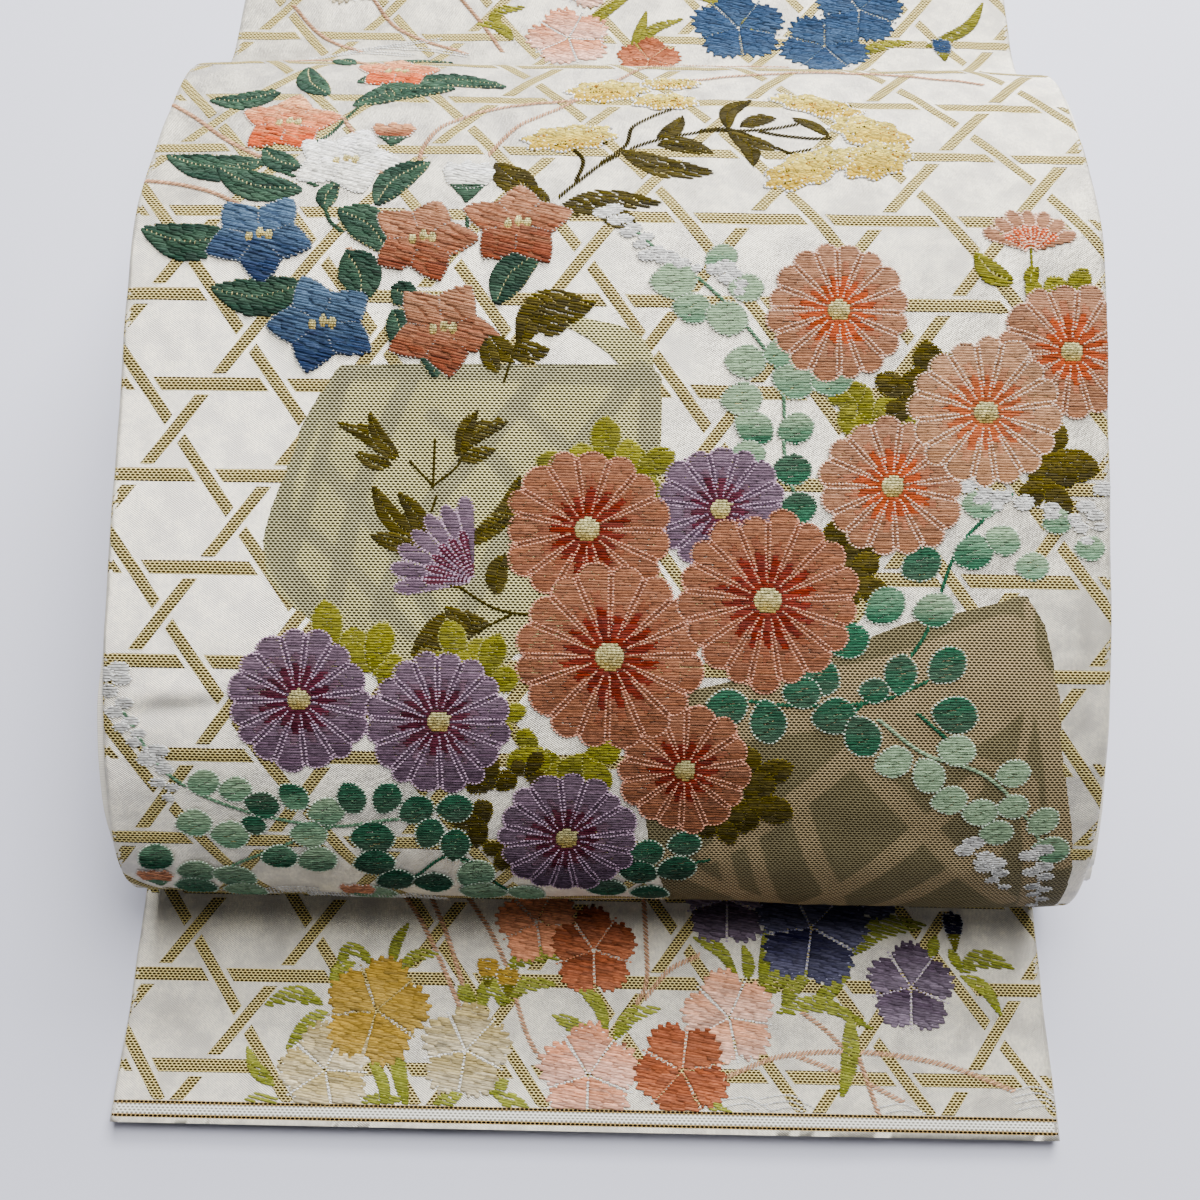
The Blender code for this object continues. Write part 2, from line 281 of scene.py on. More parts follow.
class Graph:
    """A material's node tree, with short calls for the nodes used here."""

    def __init__(self, name, roughness, metallic=0.0, specular=0.5, sheen=0.0, sheen_roughness=0.5):
        self.material = bpy.data.materials.new(name)
        self.material.use_nodes = True
        self.tree = self.material.node_tree
        self.shader = self.tree.nodes["Principled BSDF"]
        for socket, value in (
            ("Roughness", roughness),
            ("Metallic", metallic),
            ("Specular IOR Level", specular),
            ("Sheen Weight", sheen),
            ("Sheen Roughness", sheen_roughness),
        ):
            self.shader.inputs[socket].default_value = value

    def put(self, socket, value):
        """Links a node's output to an input, or sets the input's value."""
        if isinstance(value, bpy.types.NodeSocket):
            self.tree.links.new(value, socket)
        elif isinstance(value, (tuple, list, np.ndarray)):
            values = [float(x) for x in value]
            socket.default_value = values + [1.0] * (len(socket.default_value) - len(values))
        else:
            socket.default_value = value

    def math(self, operation, *values):
        """The result of a maths node on those values."""
        node = self.tree.nodes.new("ShaderNodeMath")
        node.operation = operation
        for socket, value in zip(node.inputs, values):
            self.put(socket, value)
        return node.outputs[0]

    def cloth(self):
        """The sockets of u and s, in millimetres."""
        node = self.tree.nodes.new("ShaderNodeUVMap")
        node.uv_map = "cloth"
        split = self.tree.nodes.new("ShaderNodeSeparateXYZ")
        self.tree.links.new(node.outputs["UV"], split.inputs[0])
        return split.outputs[0], split.outputs[1]

    def vector(self, x, y):
        """A flat vector of two values."""
        node = self.tree.nodes.new("ShaderNodeCombineXYZ")
        for socket, value in zip(node.inputs, (x, y)):
            self.put(socket, value)
        return node.outputs[0]

    def noise(self, vector, scale, detail=3.0, roughness=0.6):
        """Soft noise, 0 to 1, with that many features for each millimetre."""
        node = self.tree.nodes.new("ShaderNodeTexNoise")
        self.put(node.inputs["Vector"], vector)
        self.put(node.inputs["Scale"], scale)
        self.put(node.inputs["Detail"], detail)
        self.put(node.inputs["Roughness"], roughness)
        return node.outputs["Fac"]

    def ramp(self, value, low, high, start=0.0, end=1.0):
        """value from low to high, mapped smoothly to start to end."""
        node = self.tree.nodes.new("ShaderNodeMapRange")
        node.interpolation_type = "SMOOTHSTEP"
        for socket, item in zip(node.inputs, (value, low, high, start, end)):
            self.put(socket, item)
        return node.outputs[0]

    def mix(self, share, a, b, kind="MIX"):
        """Colour a, and colour b by share."""
        first_colour, second_colour, mixed_colour = 6, 7, 2
        node = self.tree.nodes.new("ShaderNodeMix")
        node.data_type = "RGBA"
        node.blend_type = kind
        self.put(node.inputs["Factor"], share)
        self.put(node.inputs[first_colour], a)
        self.put(node.inputs[second_colour], b)
        return node.outputs[mixed_colour]

    def thread_tones(self, *factors):
        """Each point's own colour, once times each of those factors."""
        own = self.tree.nodes.new("ShaderNodeAttribute")
        own.attribute_name = "thread"
        return [self.mix(1.0, own.outputs["Color"], factor, "MULTIPLY") for factor in factors]

    def colour(self, value):
        """Sets the shader's base colour."""
        self.put(self.shader.inputs["Base Color"], value)

    def roughness(self, value):
        """Sets the shader's roughness."""
        self.put(self.shader.inputs["Roughness"], value)

    def bump(self, height, distance):
        """A bump of that many metres."""
        node = self.tree.nodes.new("ShaderNodeBump")
        self.put(node.inputs["Height"], height)
        self.put(node.inputs["Distance"], distance)
        self.tree.links.new(node.outputs["Normal"], self.shader.inputs["Normal"])

    def brick_dots(self, u, s, width, height, start, end):
        """1 inside the dots of a brick-wise grid, 0 between them."""
        row = self.math("FLOOR", self.math("DIVIDE", s, height))
        odd = self.math("MULTIPLY", self.math("FLOORED_MODULO", row, 2.0), 0.5)
        shifted = self.math("ADD", self.math("DIVIDE", u, width), odd)
        across = self.math("SUBTRACT", self.math("FRACT", shifted), 0.5)
        along = self.math("SUBTRACT", self.math("FRACT", self.math("DIVIDE", s, height)), 0.5)
        away = self.math("ADD", self.math("MULTIPLY", across, across), self.math("MULTIPLY", along, along))
        return self.ramp(away, end * end, start * start)


SATIN_DULL, SATIN_BRIGHT, SATIN_GRAIN = srgb(198, 192, 180), srgb(238, 231, 212), srgb(190, 184, 170)
BACK_DULL, BACK_BRIGHT, BACK_SLUB = srgb(231, 224, 208), srgb(241, 236, 224), srgb(214, 204, 184)
TWILL_SLANT = 1.5               # u gained for each unit of s along a twill line
TWILL_TURN = 6.2                # radians of the twill's wave for each millimetre
RIB_TURN = 11.0                 # the same for the back cloth's ribs
THREAD_BUMP = 0.00022           # heights of the woven relief, in metres
GILT_BUMP = 0.00012
RIB_BUMP = 0.00007
GILT_ROUGHNESS = 0.5


def satin_material():
    """Ivory ground: warp-faced satin with a fine slanting twill and a soft, cloudy lustre."""
    g = Graph("ivory_satin", 0.42, metallic=0.55, specular=0.9)
    u, s = g.cloth()
    cloudy = g.noise(g.vector(u, s), scale=0.07, detail=5.0, roughness=0.7)
    fine = g.noise(g.vector(u, g.math("MULTIPLY", s, 0.6)), scale=1.1)
    # Painted sheen and shade: the base colour goes from dull to bright in soft clouds, like puckers catching
    # the light.
    tone = g.mix(g.ramp(cloudy, 0.38, 0.62), SATIN_DULL, SATIN_BRIGHT)
    g.colour(g.mix(g.ramp(fine, 0.35, 0.7, end=0.5), tone, SATIN_GRAIN))
    g.roughness(g.ramp(cloudy, 0.3, 0.7, start=0.38, end=0.52))
    slant = g.math("ADD", u, g.math("MULTIPLY", s, TWILL_SLANT))
    twill = g.math("SINE", g.math("MULTIPLY", slant, TWILL_TURN))
    relief = g.math("ADD", g.math("MULTIPLY", twill, 0.35), g.math("MULTIPLY", fine, 1.4))
    g.bump(g.math("ADD", relief, g.math("MULTIPLY", cloudy, 4.0)), THREAD_BUMP)
    return g.material


def back_material():
    """Plain cream back cloth with fine ribs across it."""
    g = Graph("cream_back_cloth", 0.46, specular=0.4, sheen=0.3, sheen_roughness=0.45)
    u, s = g.cloth()
    cloudy = g.noise(g.vector(u, s), scale=0.04, detail=4.0)
    slub = g.noise(g.vector(g.math("MULTIPLY", u, 0.05), s), scale=2.0, detail=2.0)
    tone = g.mix(g.ramp(cloudy, 0.3, 0.7), BACK_DULL, BACK_BRIGHT)
    g.colour(g.mix(g.ramp(slub, 0.35, 0.75, end=0.3), tone, BACK_SLUB))
    ribs = g.math("SINE", g.math("MULTIPLY", s, RIB_TURN))
    g.bump(g.math("ADD", g.math("MULTIPLY", ribs, 0.5), slub), RIB_BUMP)
    return g.material


def gilt_material(name, metallic, dark, dot_reach, tones=None):
    """Gilt weft tied down by dark points in brick-wise rows. Without tones, each point has its own."""
    g = Graph(name, GILT_ROUGHNESS, metallic=metallic, specular=0.02)
    u, s = g.cloth()
    glitter = g.noise(g.vector(u, g.math("MULTIPLY", s, 2.0)), scale=1.6, detail=2.0, roughness=0.7)
    # Painted glints: the glitter noise turns the gilt's colour from gold to pale in small specks.
    gold, pale = tones or g.thread_tones((0.82, 0.82, 0.82), (1.22, 1.22, 1.18))
    tone = g.mix(g.ramp(glitter, 0.35, 0.68), gold, pale)
    tied = g.brick_dots(u, s, TIE_PITCH[0], TIE_PITCH[1], *dot_reach)
    g.colour(g.mix(tied, tone, dark))
    g.roughness(g.ramp(glitter, 0.3, 0.7, start=GILT_ROUGHNESS + 0.12, end=GILT_ROUGHNESS - 0.1))
    g.bump(g.math("SUBTRACT", g.math("MULTIPLY", glitter, 0.6), tied), GILT_BUMP)
    return g.material


def thread_material(name, roughness, metallic=0.0):
    """Floating silk or gilt weft: its colour is each thread's own, with fibres along it."""
    g = Graph(name, roughness, metallic=metallic, specular=0.03)
    u, s = g.cloth()
    along_fibres = g.vector(g.math("MULTIPLY", u, 0.35), g.math("MULTIPLY", s, 4.0))
    fibres = g.noise(along_fibres, scale=1.3, detail=2.0)
    # Painted sheen and shade: each thread's colour is lighter and darker in fine streaks along its fibres.
    light, deep = g.thread_tones((1.36, 1.36, 1.36), (0.50, 0.48, 0.48))
    g.colour(g.mix(g.ramp(fibres, 0.34, 0.66), deep, light))
    g.bump(fibres, THREAD_BUMP)
    return g.material


SATIN = satin_material()
BACK = back_material()
GILT = gilt_material(
    "gilt_lattice", 0.1, srgb(48, 34, 10), (0.35, 0.5), (srgb(200, 178, 104), srgb(240, 226, 160))
)
GROUND_GILT = gilt_material("gilt_ground", 0.15, srgb(44, 38, 20), (0.33, 0.48))
BAND = gilt_material(
    "end_band", 0.0, srgb(128, 124, 112), (0.2, 0.42), (srgb(222, 220, 208), srgb(240, 238, 230))
)
BAND_LINE = gilt_material(
    "end_line", 0.0, srgb(22, 14, 6), (0.38, 0.52), (srgb(150, 120, 66), srgb(196, 172, 120))
)
SILK = thread_material("floating_silk", 0.58)
GLINT = thread_material("gilt_floats", 0.36, metallic=0.3)


# ---------------------------------------------------------------- cloth shells

RIM = np.array([1.6, 0.9, 0.4, 0.1])    # distances from the cloth's edge of its last columns
RIM_START = 2.4                         # the same of the even columns' end
UNDER_COLUMNS = 20                      # columns of a cloth's lower face
FACE_DEPTH = 0.55                       # share of the thickness where the two faces turn into each other


def strip_quads(rows, columns):
    """The quads of a grid of points, row by row."""
    first = np.arange(rows - 1)[:, None] * columns + np.arange(columns - 1)
    return np.stack([first, first + 1, first + columns + 1, first + columns], axis=-1).reshape(-1, 4)


def cloth_shell(name, stretch, s, step, top, material, bulge=None):
    """A closed thin shell of cloth at those s, whose upper face lies top below the surface."""
    rows = len(s)
    reach = HALF_WIDTH - RIM_START
    inner = np.linspace(-reach, reach, round(OBI_WIDTH / step))
    upper_u = np.concatenate([-HALF_WIDTH + RIM[::-1], inner, HALF_WIDTH - RIM])
    lower_u = np.linspace(HALF_WIDTH, -HALF_WIDTH, UNDER_COLUMNS)
    ring_u = np.concatenate([upper_u, lower_u])
    ring_depth = np.concatenate([np.full(len(upper_u), top), np.full(len(lower_u), top + CLOTH)])
    ring_depth[[len(upper_u), -1]] = top + CLOTH * FACE_DEPTH
    columns = len(ring_u)
    u = np.broadcast_to(ring_u, (rows, columns)).copy()
    if bulge is not None:
        u += bulge(u, s[:, None])
    s_grid = np.broadcast_to(s[:, None], (rows, columns))
    points = stretch.place(u, s_grid, -np.broadcast_to(ring_depth, (rows, columns)))
    points[..., 2] = np.maximum(points[..., 2], (top + CLOTH - ring_depth) * THINNEST * MM)
    ring = np.arange(columns)
    following = np.roll(ring, -1)
    base = np.arange(rows - 1)[:, None] * columns
    quads = np.stack([base + ring, base + following, base + columns + following, base + columns + ring], -1)
    quads = quads.reshape(-1, 4)
    cloth = np.stack([u.ravel(), s_grid.ravel()], axis=1)
    item = mesh_object(name, points.reshape(-1, 3), quads, material, cloth)
    close_ends(item, columns, rows)
    return item


def close_ends(item, columns, rows):
    """Fills the first and the last ring of a shell, so that its mesh is closed."""
    edit = bmesh.new()
    edit.from_mesh(item.data)
    edit.verts.ensure_lookup_table()
    edit.faces.new([edit.verts[i] for i in reversed(range(columns))])
    edit.faces.new([edit.verts[(rows - 1) * columns + i] for i in range(columns)])
    bmesh.ops.triangulate(edit, faces=edit.faces[-2:])
    edit.to_mesh(item.data)
    edit.free()


# ---------------------------------------------------------------- gold lattice

class Bars:
    """Parallelogram strips of gilt weave that follow the cloth."""

    # Share of the half width, and lift over the cloth.
    PROFILE = ((-1.0, 0.02), (-0.86, 0.10), (0.0, 0.12), (0.86, 0.10), (1.0, 0.02))

    STATION_STEP = 2.2
    EDGE_MARGIN = 0.5

    def __init__(self, stretch, low, high):
        self.stretch = stretch
        self.low = low
        self.high = high
        self.points = []
        self.quads = []
        self.cloth = []
        self.count = 0

    def add(self, start, run, across, trim):
        """A strip from start along run, short of both ends by the share trim, and across to each side."""
        start = start + run * trim
        run = run * (1 - 2 * trim)
        stations = max(2, round(math.hypot(*run) / self.STATION_STEP)) + 1
        t = np.linspace(0, 1, stations)[:, None]
        w = np.array([row[0] for row in self.PROFILE])[None, :]
        lift = np.broadcast_to([row[1] for row in self.PROFILE], (stations, len(self.PROFILE)))
        u = start[0] + t * run[0] + w * across[0]
        s = start[1] + t * run[1] + w * across[1]
        limit = HALF_WIDTH - self.EDGE_MARGIN
        outside = (np.abs(u) > limit) | (s < self.low) | (s > self.high)
        if outside.all():
            return
        clipped_u = np.clip(u, -limit, limit)
        clipped_s = np.clip(s, self.low, self.high)
        quads = strip_quads(stations, len(self.PROFILE))
        quads = quads[~outside.ravel()[quads].all(axis=1)]
        used = np.unique(quads)
        place = np.full(u.size, -1)
        place[used] = np.arange(len(used))
        flat_u = clipped_u.ravel()[used]
        flat_s = clipped_s.ravel()[used]
        self.points.append(self.stretch.place(flat_u, flat_s, lift.ravel()[used]))
        self.cloth.append(np.stack([flat_u, flat_s], 1))
        self.quads.append(place[quads] + self.count)
        self.count += len(used)

    def build(self, name, material):
        """All strips as one mesh."""
        points, quads, cloth = (np.concatenate(rows) for rows in (self.points, self.quads, self.cloth))
        return mesh_object(name, points, quads, material, cloth)


def crossing(row, column):
    """(u, s) where the slanting bars cross, between bars row and row + 1."""
    shift = 0.0 if row % 2 else 0.5
    return FIRST_CROSSING + (column + shift) * CROSSING_PITCH, FIRST_BAR + (row + 0.5) * BAR_PITCH


def lattice(name, stretch, low, high):
    """All bars between s low and high.

    Bars across pass over rising ones, rising ones over falling ones, and falling ones over bars across.
    """
    rising = np.array([CROSSING_PITCH / 2, BAR_PITCH])
    falling = np.array([-CROSSING_PITCH / 2, BAR_PITCH])
    level = np.array([CROSSING_PITCH, 0.0])
    slope = math.sin(math.atan2(rising[1], rising[0]))
    opening = math.sin(2 * math.atan2(rising[0], rising[1]))
    length = math.hypot(*rising)
    half = BAR_WIDTH / 2
    reach = half + BAR_CLEAR
    rising_side = np.array([half * SLANTED_SHARE / slope, 0.0])
    falling_side = rising / length * half * SLANTED_SHARE / opening
    level_side = falling / length * half * LEVEL_SHARE / slope
    bars = Bars(stretch, low, high)
    first_row = math.floor((low - FIRST_BAR) / BAR_PITCH) - 1
    last_row = math.ceil((high - FIRST_BAR) / BAR_PITCH)
    for row in range(first_row, last_row + 1):
        for column in LATTICE_COLUMNS:
            place = np.array(crossing(row, column))
            bars.add(place - rising / 2, rising, rising_side, reach / slope / length)
            bars.add(place, falling, falling_side, reach / opening / length)
            bars.add(place + falling / 2, level, level_side, reach / slope / CROSSING_PITCH)
    return bars.build(name, GILT)


# ---------------------------------------------------------------- folded layers

# Sizes of the hidden folds, in metres.
FAR_FOLD = 0.2215               # y of the far folds' outer face, about
FIRST_FAR_FOLD = 0.2250         # the same of the fold under the top run
FAR_STAGGER = 0.0008
FOLD_FLOOR = 0.0062             # height of the lowest fold inside the drum
ROLL_RISE = 0.0012              # added to it over the roll
ROLL_START = -0.09              # y where the roll starts
DRUM_CLEAR = 0.0034             # from the cover's upper face down to the highest fold
SLOPE_START, SLOPE_RUN = 0.105, 0.075       # y where the folds leave the drum's slope, and how far on
FOLD_SAG, SAG_TURN = 0.0012, 42             # depth of a fold's waves, and their radians for each metre
SAG_START, SAG_RUN = -0.14, 0.03            # y where the waves start, and how far on they are full
NEAR_BULGE, FAR_BULGE = 0.0004, 0.0015      # least bulge of a fold at either end
RETURN_RISE = 0.0007            # height of the returning layer's front over the tail
RETURN_END = (-0.106, 0.0046)   # y and z where the returning layer meets the drum's underside
RETURN_SLOPE = (0.1, 0.19)      # y where it starts to rise, and the length of its rise
LATTICE_SHOWS = 208.0           # y from which the far folds' lattice shows, in millimetres
PASSES = (
    # height of the front cloth at the far end, share of the drum's height inside the drum, y at the near end
    (0.0372, 0.925, -0.1420),
    (0.0352, 0.900, -0.1420),
    (0.0294, 0.775, -0.1455),
    (0.0274, 0.750, -0.1455),
    (0.0216, 0.600, -0.1480),
    (0.0196, 0.575, -0.1480),
    (0.0138, 0.400, -0.1470),
    (0.0118, 0.370, -0.1470),
    (0.0100, 0.150, 0.1500),
)


def cover_height(y):
    """Height of the cover's upper face over a place inside the drum."""
    top = cover_line[np.argmin(cover_line[:, 0]):]
    return np.interp(y, top[:, 0], top[:, 1])


def fold(start, end, bulge):
    """A half-round fold between two (y, z) points, out by bulge in y."""
    angle = np.linspace(-math.pi / 2, math.pi / 2, 15)[1:-1]
    middle = (start + end) / 2
    half = (end - start) / 2
    return middle + np.outer(np.sin(angle), half) + np.outer(np.cos(angle), [bulge, 0.0])


def heap_line():
    """The front cloth's face from under the top run to the obi's other end: long passes and their folds."""
    lines = []
    rng = np.random.default_rng(8)
    for number, (far_z, share, near) in enumerate(PASSES):
        far = FIRST_FAR_FOLD if number == 0 else FAR_FOLD - FAR_STAGGER * (number % 3)
        y = np.linspace(near, far, 110)
        base = FOLD_FLOOR + ROLL_RISE * (y < ROLL_START)
        inside = 1 - smoothstep((y - SLOPE_START) / SLOPE_RUN)
        dome = base + share * (cover_height(y) - DRUM_CLEAR - base)
        fade = smoothstep((y - SAG_START) / SAG_RUN)
        sag = FOLD_SAG * np.sin(y * SAG_TURN + rng.uniform(0, 6)) * fade * inside
        z = far_z + (dome - far_z) * inside + sag
        run = np.stack([y, z], axis=1)
        lines.append(run[::-1] if number % 2 == 0 else run)
    joined = [lines[0]]
    for number, run in enumerate(lines[1:]):
        before = joined[-1][-1]
        gap = abs(before[1] - run[0, 1]) / 2
        if number % 2 == 0:
            joined.append(fold(before, run[0], -max(gap, NEAR_BULGE)))
        else:
            joined.append(fold(before, run[0], max(gap, FAR_BULGE)))
        joined.append(run)
    return np.concatenate(joined)


def return_line():
    """The front cloth's face from the tail's far end back under the heap to the drum's underside."""
    start = TAIL.line[-1] * MM
    y = np.linspace(start[0], RETURN_END[0], 120)
    rise = smoothstep((RETURN_SLOPE[0] - y) / RETURN_SLOPE[1])
    z = start[1] + RETURN_RISE + (RETURN_END[1] - start[1] - RETURN_RISE) * rise
    run = np.stack([y, z], axis=1)
    return np.concatenate([[start], fold(start, run[0], NEAR_BULGE), run])


def fold_lattices():
    """The gold lattice on the far folds, where the heap's edge shows it."""
    shown = HEAP.line[:, 0] > LATTICE_SHOWS
    changes = np.flatnonzero(np.diff(shown.astype(int))) + 1
    runs = np.split(np.arange(len(shown)), changes)
    runs = [HEAP.s[run] for run in runs if shown[run[0]]]
    return [lattice(f"fold_lattice_{k + 1}", HEAP, run[0], run[-1]) for k, run in enumerate(runs)]


RETURN = Stretch(
    "return", return_line(), start=TAIL.s[-1], centre=-2.2, skew=0.012, seed=41, puff=0.1, sway=0.6
)
HEAP = Stretch(
    "heap", heap_line(), start=COVER.s[-1], centre=1.2, skew=0.004, seed=51, puff=0.12, sway=1.1
)


# ---------------------------------------------------------------- pattern wefts

# A thread's own shape: share of its length, of its width and of its height at each station along it.
LONG_FLOAT = ((0.0, 0.4, 0.05), (0.12, 0.9, 0.8), (0.5, 1.0, 1.0), (0.88, 0.9, 0.8), (1.0, 0.4, 0.05))
SHORT_STITCH = ((0.0, 0.5, 0.15), (0.5, 1.0, 1.0), (1.0, 0.5, 0.15))
# Painted shade of a float's sides, by piece: its vertex colour there is darker than on its ridge, as if the
# valleys between floats lay in shade.
SIDE_PAINTED_SHADE = {"chrysanthemum_threads": 0.84, "hagi_threads": 0.78, "dianthus_threads": 0.66}
FLOAT_BASE = 0.24               # lift of a float's sides over the cloth
FLOAT_HEIGHT = 0.36
CHART_STEP = 0.2                # u between the chart's points
SHORTEST_RUN = 4                # of the chart's points, for a thread of its own
OTHER_SIDE_PAINTED_SHADE = 0.58         # painted shade of a float's sides, on other pieces
# Painted highlight: a float's ridge is lighter in its vertex colour.
RIDGE_PAINTED_HIGHLIGHT = 1.08
END_PAINTED_SHADE, RISE_PAINTED_LIGHT = 0.84, 0.16      # painted shade of a float's ends, where it dips into the cloth, and the painted light its middle adds
COARSE_SWELL = 1.35             # a coarse float's width against a fine one's; heights go by its square
COARSE_BED = 0.42               # share of each of a patch's two colours in the bed under coarse floats; the shares add to less than 1, so the bed is darker: painted shade in the gaps between the floats
COARSE_SPREAD, FINE_SPREAD = 0.18, 0.12     # how far a float's tone strays
LOOSE_STITCH, STITCH_SPREAD = 0.06, 0.1     # how far a small stitch strays from its place and its tone
COARSE_STAGGER, FINE_STAGGER = 0.4, 0.3     # how far cuts shift from row to row, in floats
UNCUT_EXTRA = 0.15              # share of a longest float that a run may be over without another cut
FLOAT_HALF_WIDTH = PICK * 0.53
FLOAT_OVERLAP = 0.1             # how far a float runs on past its ends
FLOAT_WANDER = 0.05             # how far it strays from its row
HEIGHT_SPREAD = (0.8, 1.2)
BLEND_SPREAD = 0.08             # raggedness of the change from one colour to the other


def thread_mesh(name, stretch, threads, shape, material, side_painted_shade):
    """One joined mesh of threads.

    Each row of threads has u and s at one end, u and s at the other, half width, height, and linear r, g, b.
    """
    threads = np.array(threads, float)
    shape = np.array(shape)
    stations = len(shape)
    start = threads[:, 0:2]
    run = threads[:, 2:4] - start
    length = np.maximum(np.linalg.norm(run, axis=1, keepdims=True), 1e-6)
    across = beside(run) / length * threads[:, 4:5]
    side = np.array([-1.0, 0.0, 1.0])
    place = (
        start[:, None, None, :]
        + run[:, None, None, :] * shape[None, :, None, 0:1]
        + across[:, None, None, :] * shape[None, :, None, 1:2] * side[None, None, :, None]
    )
    rise = np.where(side == 0, 1.0, 0.0)
    lift = FLOAT_BASE + threads[:, 5][:, None, None] * shape[None, :, None, 2] * rise[None, None, :]
    place = place.reshape(-1, 2)
    place[:, 0] = np.clip(place[:, 0], -HALF_WIDTH + 0.2, HALF_WIDTH - 0.2)
    points = stretch.place(place[:, 0], place[:, 1], lift.ravel())
    one = strip_quads(stations, 3)
    quads = (np.arange(len(threads))[:, None, None] * stations * 3 + one[None]).reshape(-1, 4)
    # Painted shade and highlight: darker vertex colour on each float's sides and ends, lighter on its ridge.
    shade = np.where(side == 0, RIDGE_PAINTED_HIGHLIGHT, side_painted_shade)[None, :] * (END_PAINTED_SHADE + RISE_PAINTED_LIGHT * shape[:, 2:3])
    colours = (threads[:, None, None, 6:9] * shade[None, :, :, None]).reshape(-1, 3)
    return mesh_object(name, points, quads, material, place, colours)


class Chart:
    """The weaver's chart of one stretch. Later motifs cover earlier ones, and floats cross each patch."""

    def __init__(self, stretch, low, high, seed):
        self.stretch = stretch
        self.low = low
        self.high = high
        self.rng = np.random.default_rng(seed)
        shape = (int((high - low) / PICK) + 1, int(OBI_WIDTH / CHART_STEP))
        self.patch_at = np.full(shape, -1, np.int32)
        self.motif_at = np.full(shape, -1, np.int32)
        self.patches = []
        self.stitches = []
        self.motif = 0

    def cell(self, u, s):
        """The row and column of the chart at (u, s)."""
        row = min(max(round((s - self.low) / PICK), 0), self.patch_at.shape[0] - 1)
        column = min(max(int((u + HALF_WIDTH) / CHART_STEP), 0), self.patch_at.shape[1] - 1)
        return row, column

    def fill(self, outline, piece, upper, lower=None, tilt=0.0, longest=7.5, coarse=False):
        """Weaves a closed outline of (u, s) points, from the upper colour at its far side to the lower."""
        outline = np.asarray(outline, float)
        first = outline[:, 1].min()
        last = outline[:, 1].max()
        lower = upper if lower is None else lower
        self.patches.append((piece, upper, lower, last, first, tilt, longest, coarse))
        following = np.roll(outline, -1, axis=0)
        for row in range(max(0, math.ceil((first - self.low) / PICK)), self.patch_at.shape[0]):
            s = self.low + row * PICK
            if s > last:
                break
            cut = (outline[:, 1] > s) != (following[:, 1] > s)
            a = outline[cut]
            b = following[cut]
            u = np.sort(a[:, 0] + (s - a[:, 1]) / (b[:, 1] - a[:, 1]) * (b[:, 0] - a[:, 0]))
            for left, right in zip(u[0::2], u[1::2]):
                start = max(0, math.ceil((left + HALF_WIDTH) / CHART_STEP))
                stop = max(0, math.ceil((right + HALF_WIDTH) / CHART_STEP))
                self.patch_at[row, start:stop] = len(self.patches) - 1
                self.motif_at[row, start:stop] = self.motif

    def add_stitches(self, start, end, piece, colour, half, height):
        """Single threads from each start to each end, where no later motif covers them."""
        middle = (start + end) / 2
        for a, b, m in zip(start, end, middle):
            if abs(m[0]) < HALF_WIDTH - 0.6 and self.low < m[1] < self.high:
                shade = colour * (1 + self.rng.uniform(-STITCH_SPREAD, STITCH_SPREAD))
                self.stitches.append((self.motif, piece, *a, *b, half, height, *np.clip(shade, 0, 1)))

    def chain(self, path, piece, colour, pitch=1.15, length=0.95, half=0.34, height=0.40, lie=(1.0, 0.0)):
        """A row of small stitches along a path, pitch apart, each lying in the direction lie."""
        points = along(path, pitch)
        points = points + self.rng.normal(0, LOOSE_STITCH, points.shape)
        reach = np.array(lie) * length / 2
        self.add_stitches(points - reach, points + reach, piece, colour, half, height)

    def outline(self, outline, piece, colour, **stitch):
        """A chain all round a closed outline."""
        self.chain(np.concatenate([outline, outline[:1]]), piece, colour, **stitch)

    def cord(self, path, piece, colour):
        """A smooth narrow stem."""
        pitch = 1.7
        points = along(path, pitch)
        reach = headings(points) * pitch * 0.62
        self.add_stitches(points - reach, points + reach, piece, colour, 0.5, 0.42)

    def twist(self, path, piece, colour, width=1.7):
        """A stem of slanting stitches, like a two-ply cord."""
        pitch = 1.2
        points = along(path, pitch)
        run = headings(points)
        reach = run * pitch * 0.7 + beside(run) * width * 0.5
        # Painted highlight and shade: every second stitch is lighter, the others darker.
        for first, tone in ((0, 1.2), (1, 0.72)):
            ends = (points - reach)[first::2], (points + reach)[first::2]
            self.add_stitches(*ends, piece, colour * tone, 0.42, 0.5)

    def runs(self, row):
        """Where each run of one patch starts and ends along a row. Slivers join the run beside them."""
        line = self.patch_at[row]
        bounds = run_bounds(line)
        for first, last in zip(bounds[:-1], bounds[1:]):
            if last - first < SHORTEST_RUN and first > 0 and last < len(line):
                line[first:last] = line[first - 1] if line[first - 1] >= 0 else line[last]
        bounds = run_bounds(line)
        return [(first, last) for first, last in zip(bounds[:-1], bounds[1:]) if line[first] >= 0]

    def floats(self, row, first, last):
        """The floats of one run of a row, from column first to column last, and their piece."""
        rng = self.rng
        s = self.low + row * PICK
        piece, upper, lower, far, near, tilt, longest, coarse = self.patches[self.patch_at[row, first]]
        left = first * CHART_STEP - HALF_WIDTH
        right = last * CHART_STEP - HALF_WIDTH
        count = max(1, math.ceil((right - left) / longest - UNCUT_EXTRA))
        if coarse:
            stagger = rng.uniform(-COARSE_STAGGER, COARSE_STAGGER)
        else:
            stagger = FINE_STAGGER * ((row % 3) - 1)
        breaks = left + (right - left) * (np.arange(1, count) + stagger) / count
        ends = np.concatenate(([left], breaks, [right]))
        swell = COARSE_SWELL if coarse else 1.0
        spread = COARSE_SPREAD if coarse else FINE_SPREAD
        rows = []
        if coarse:
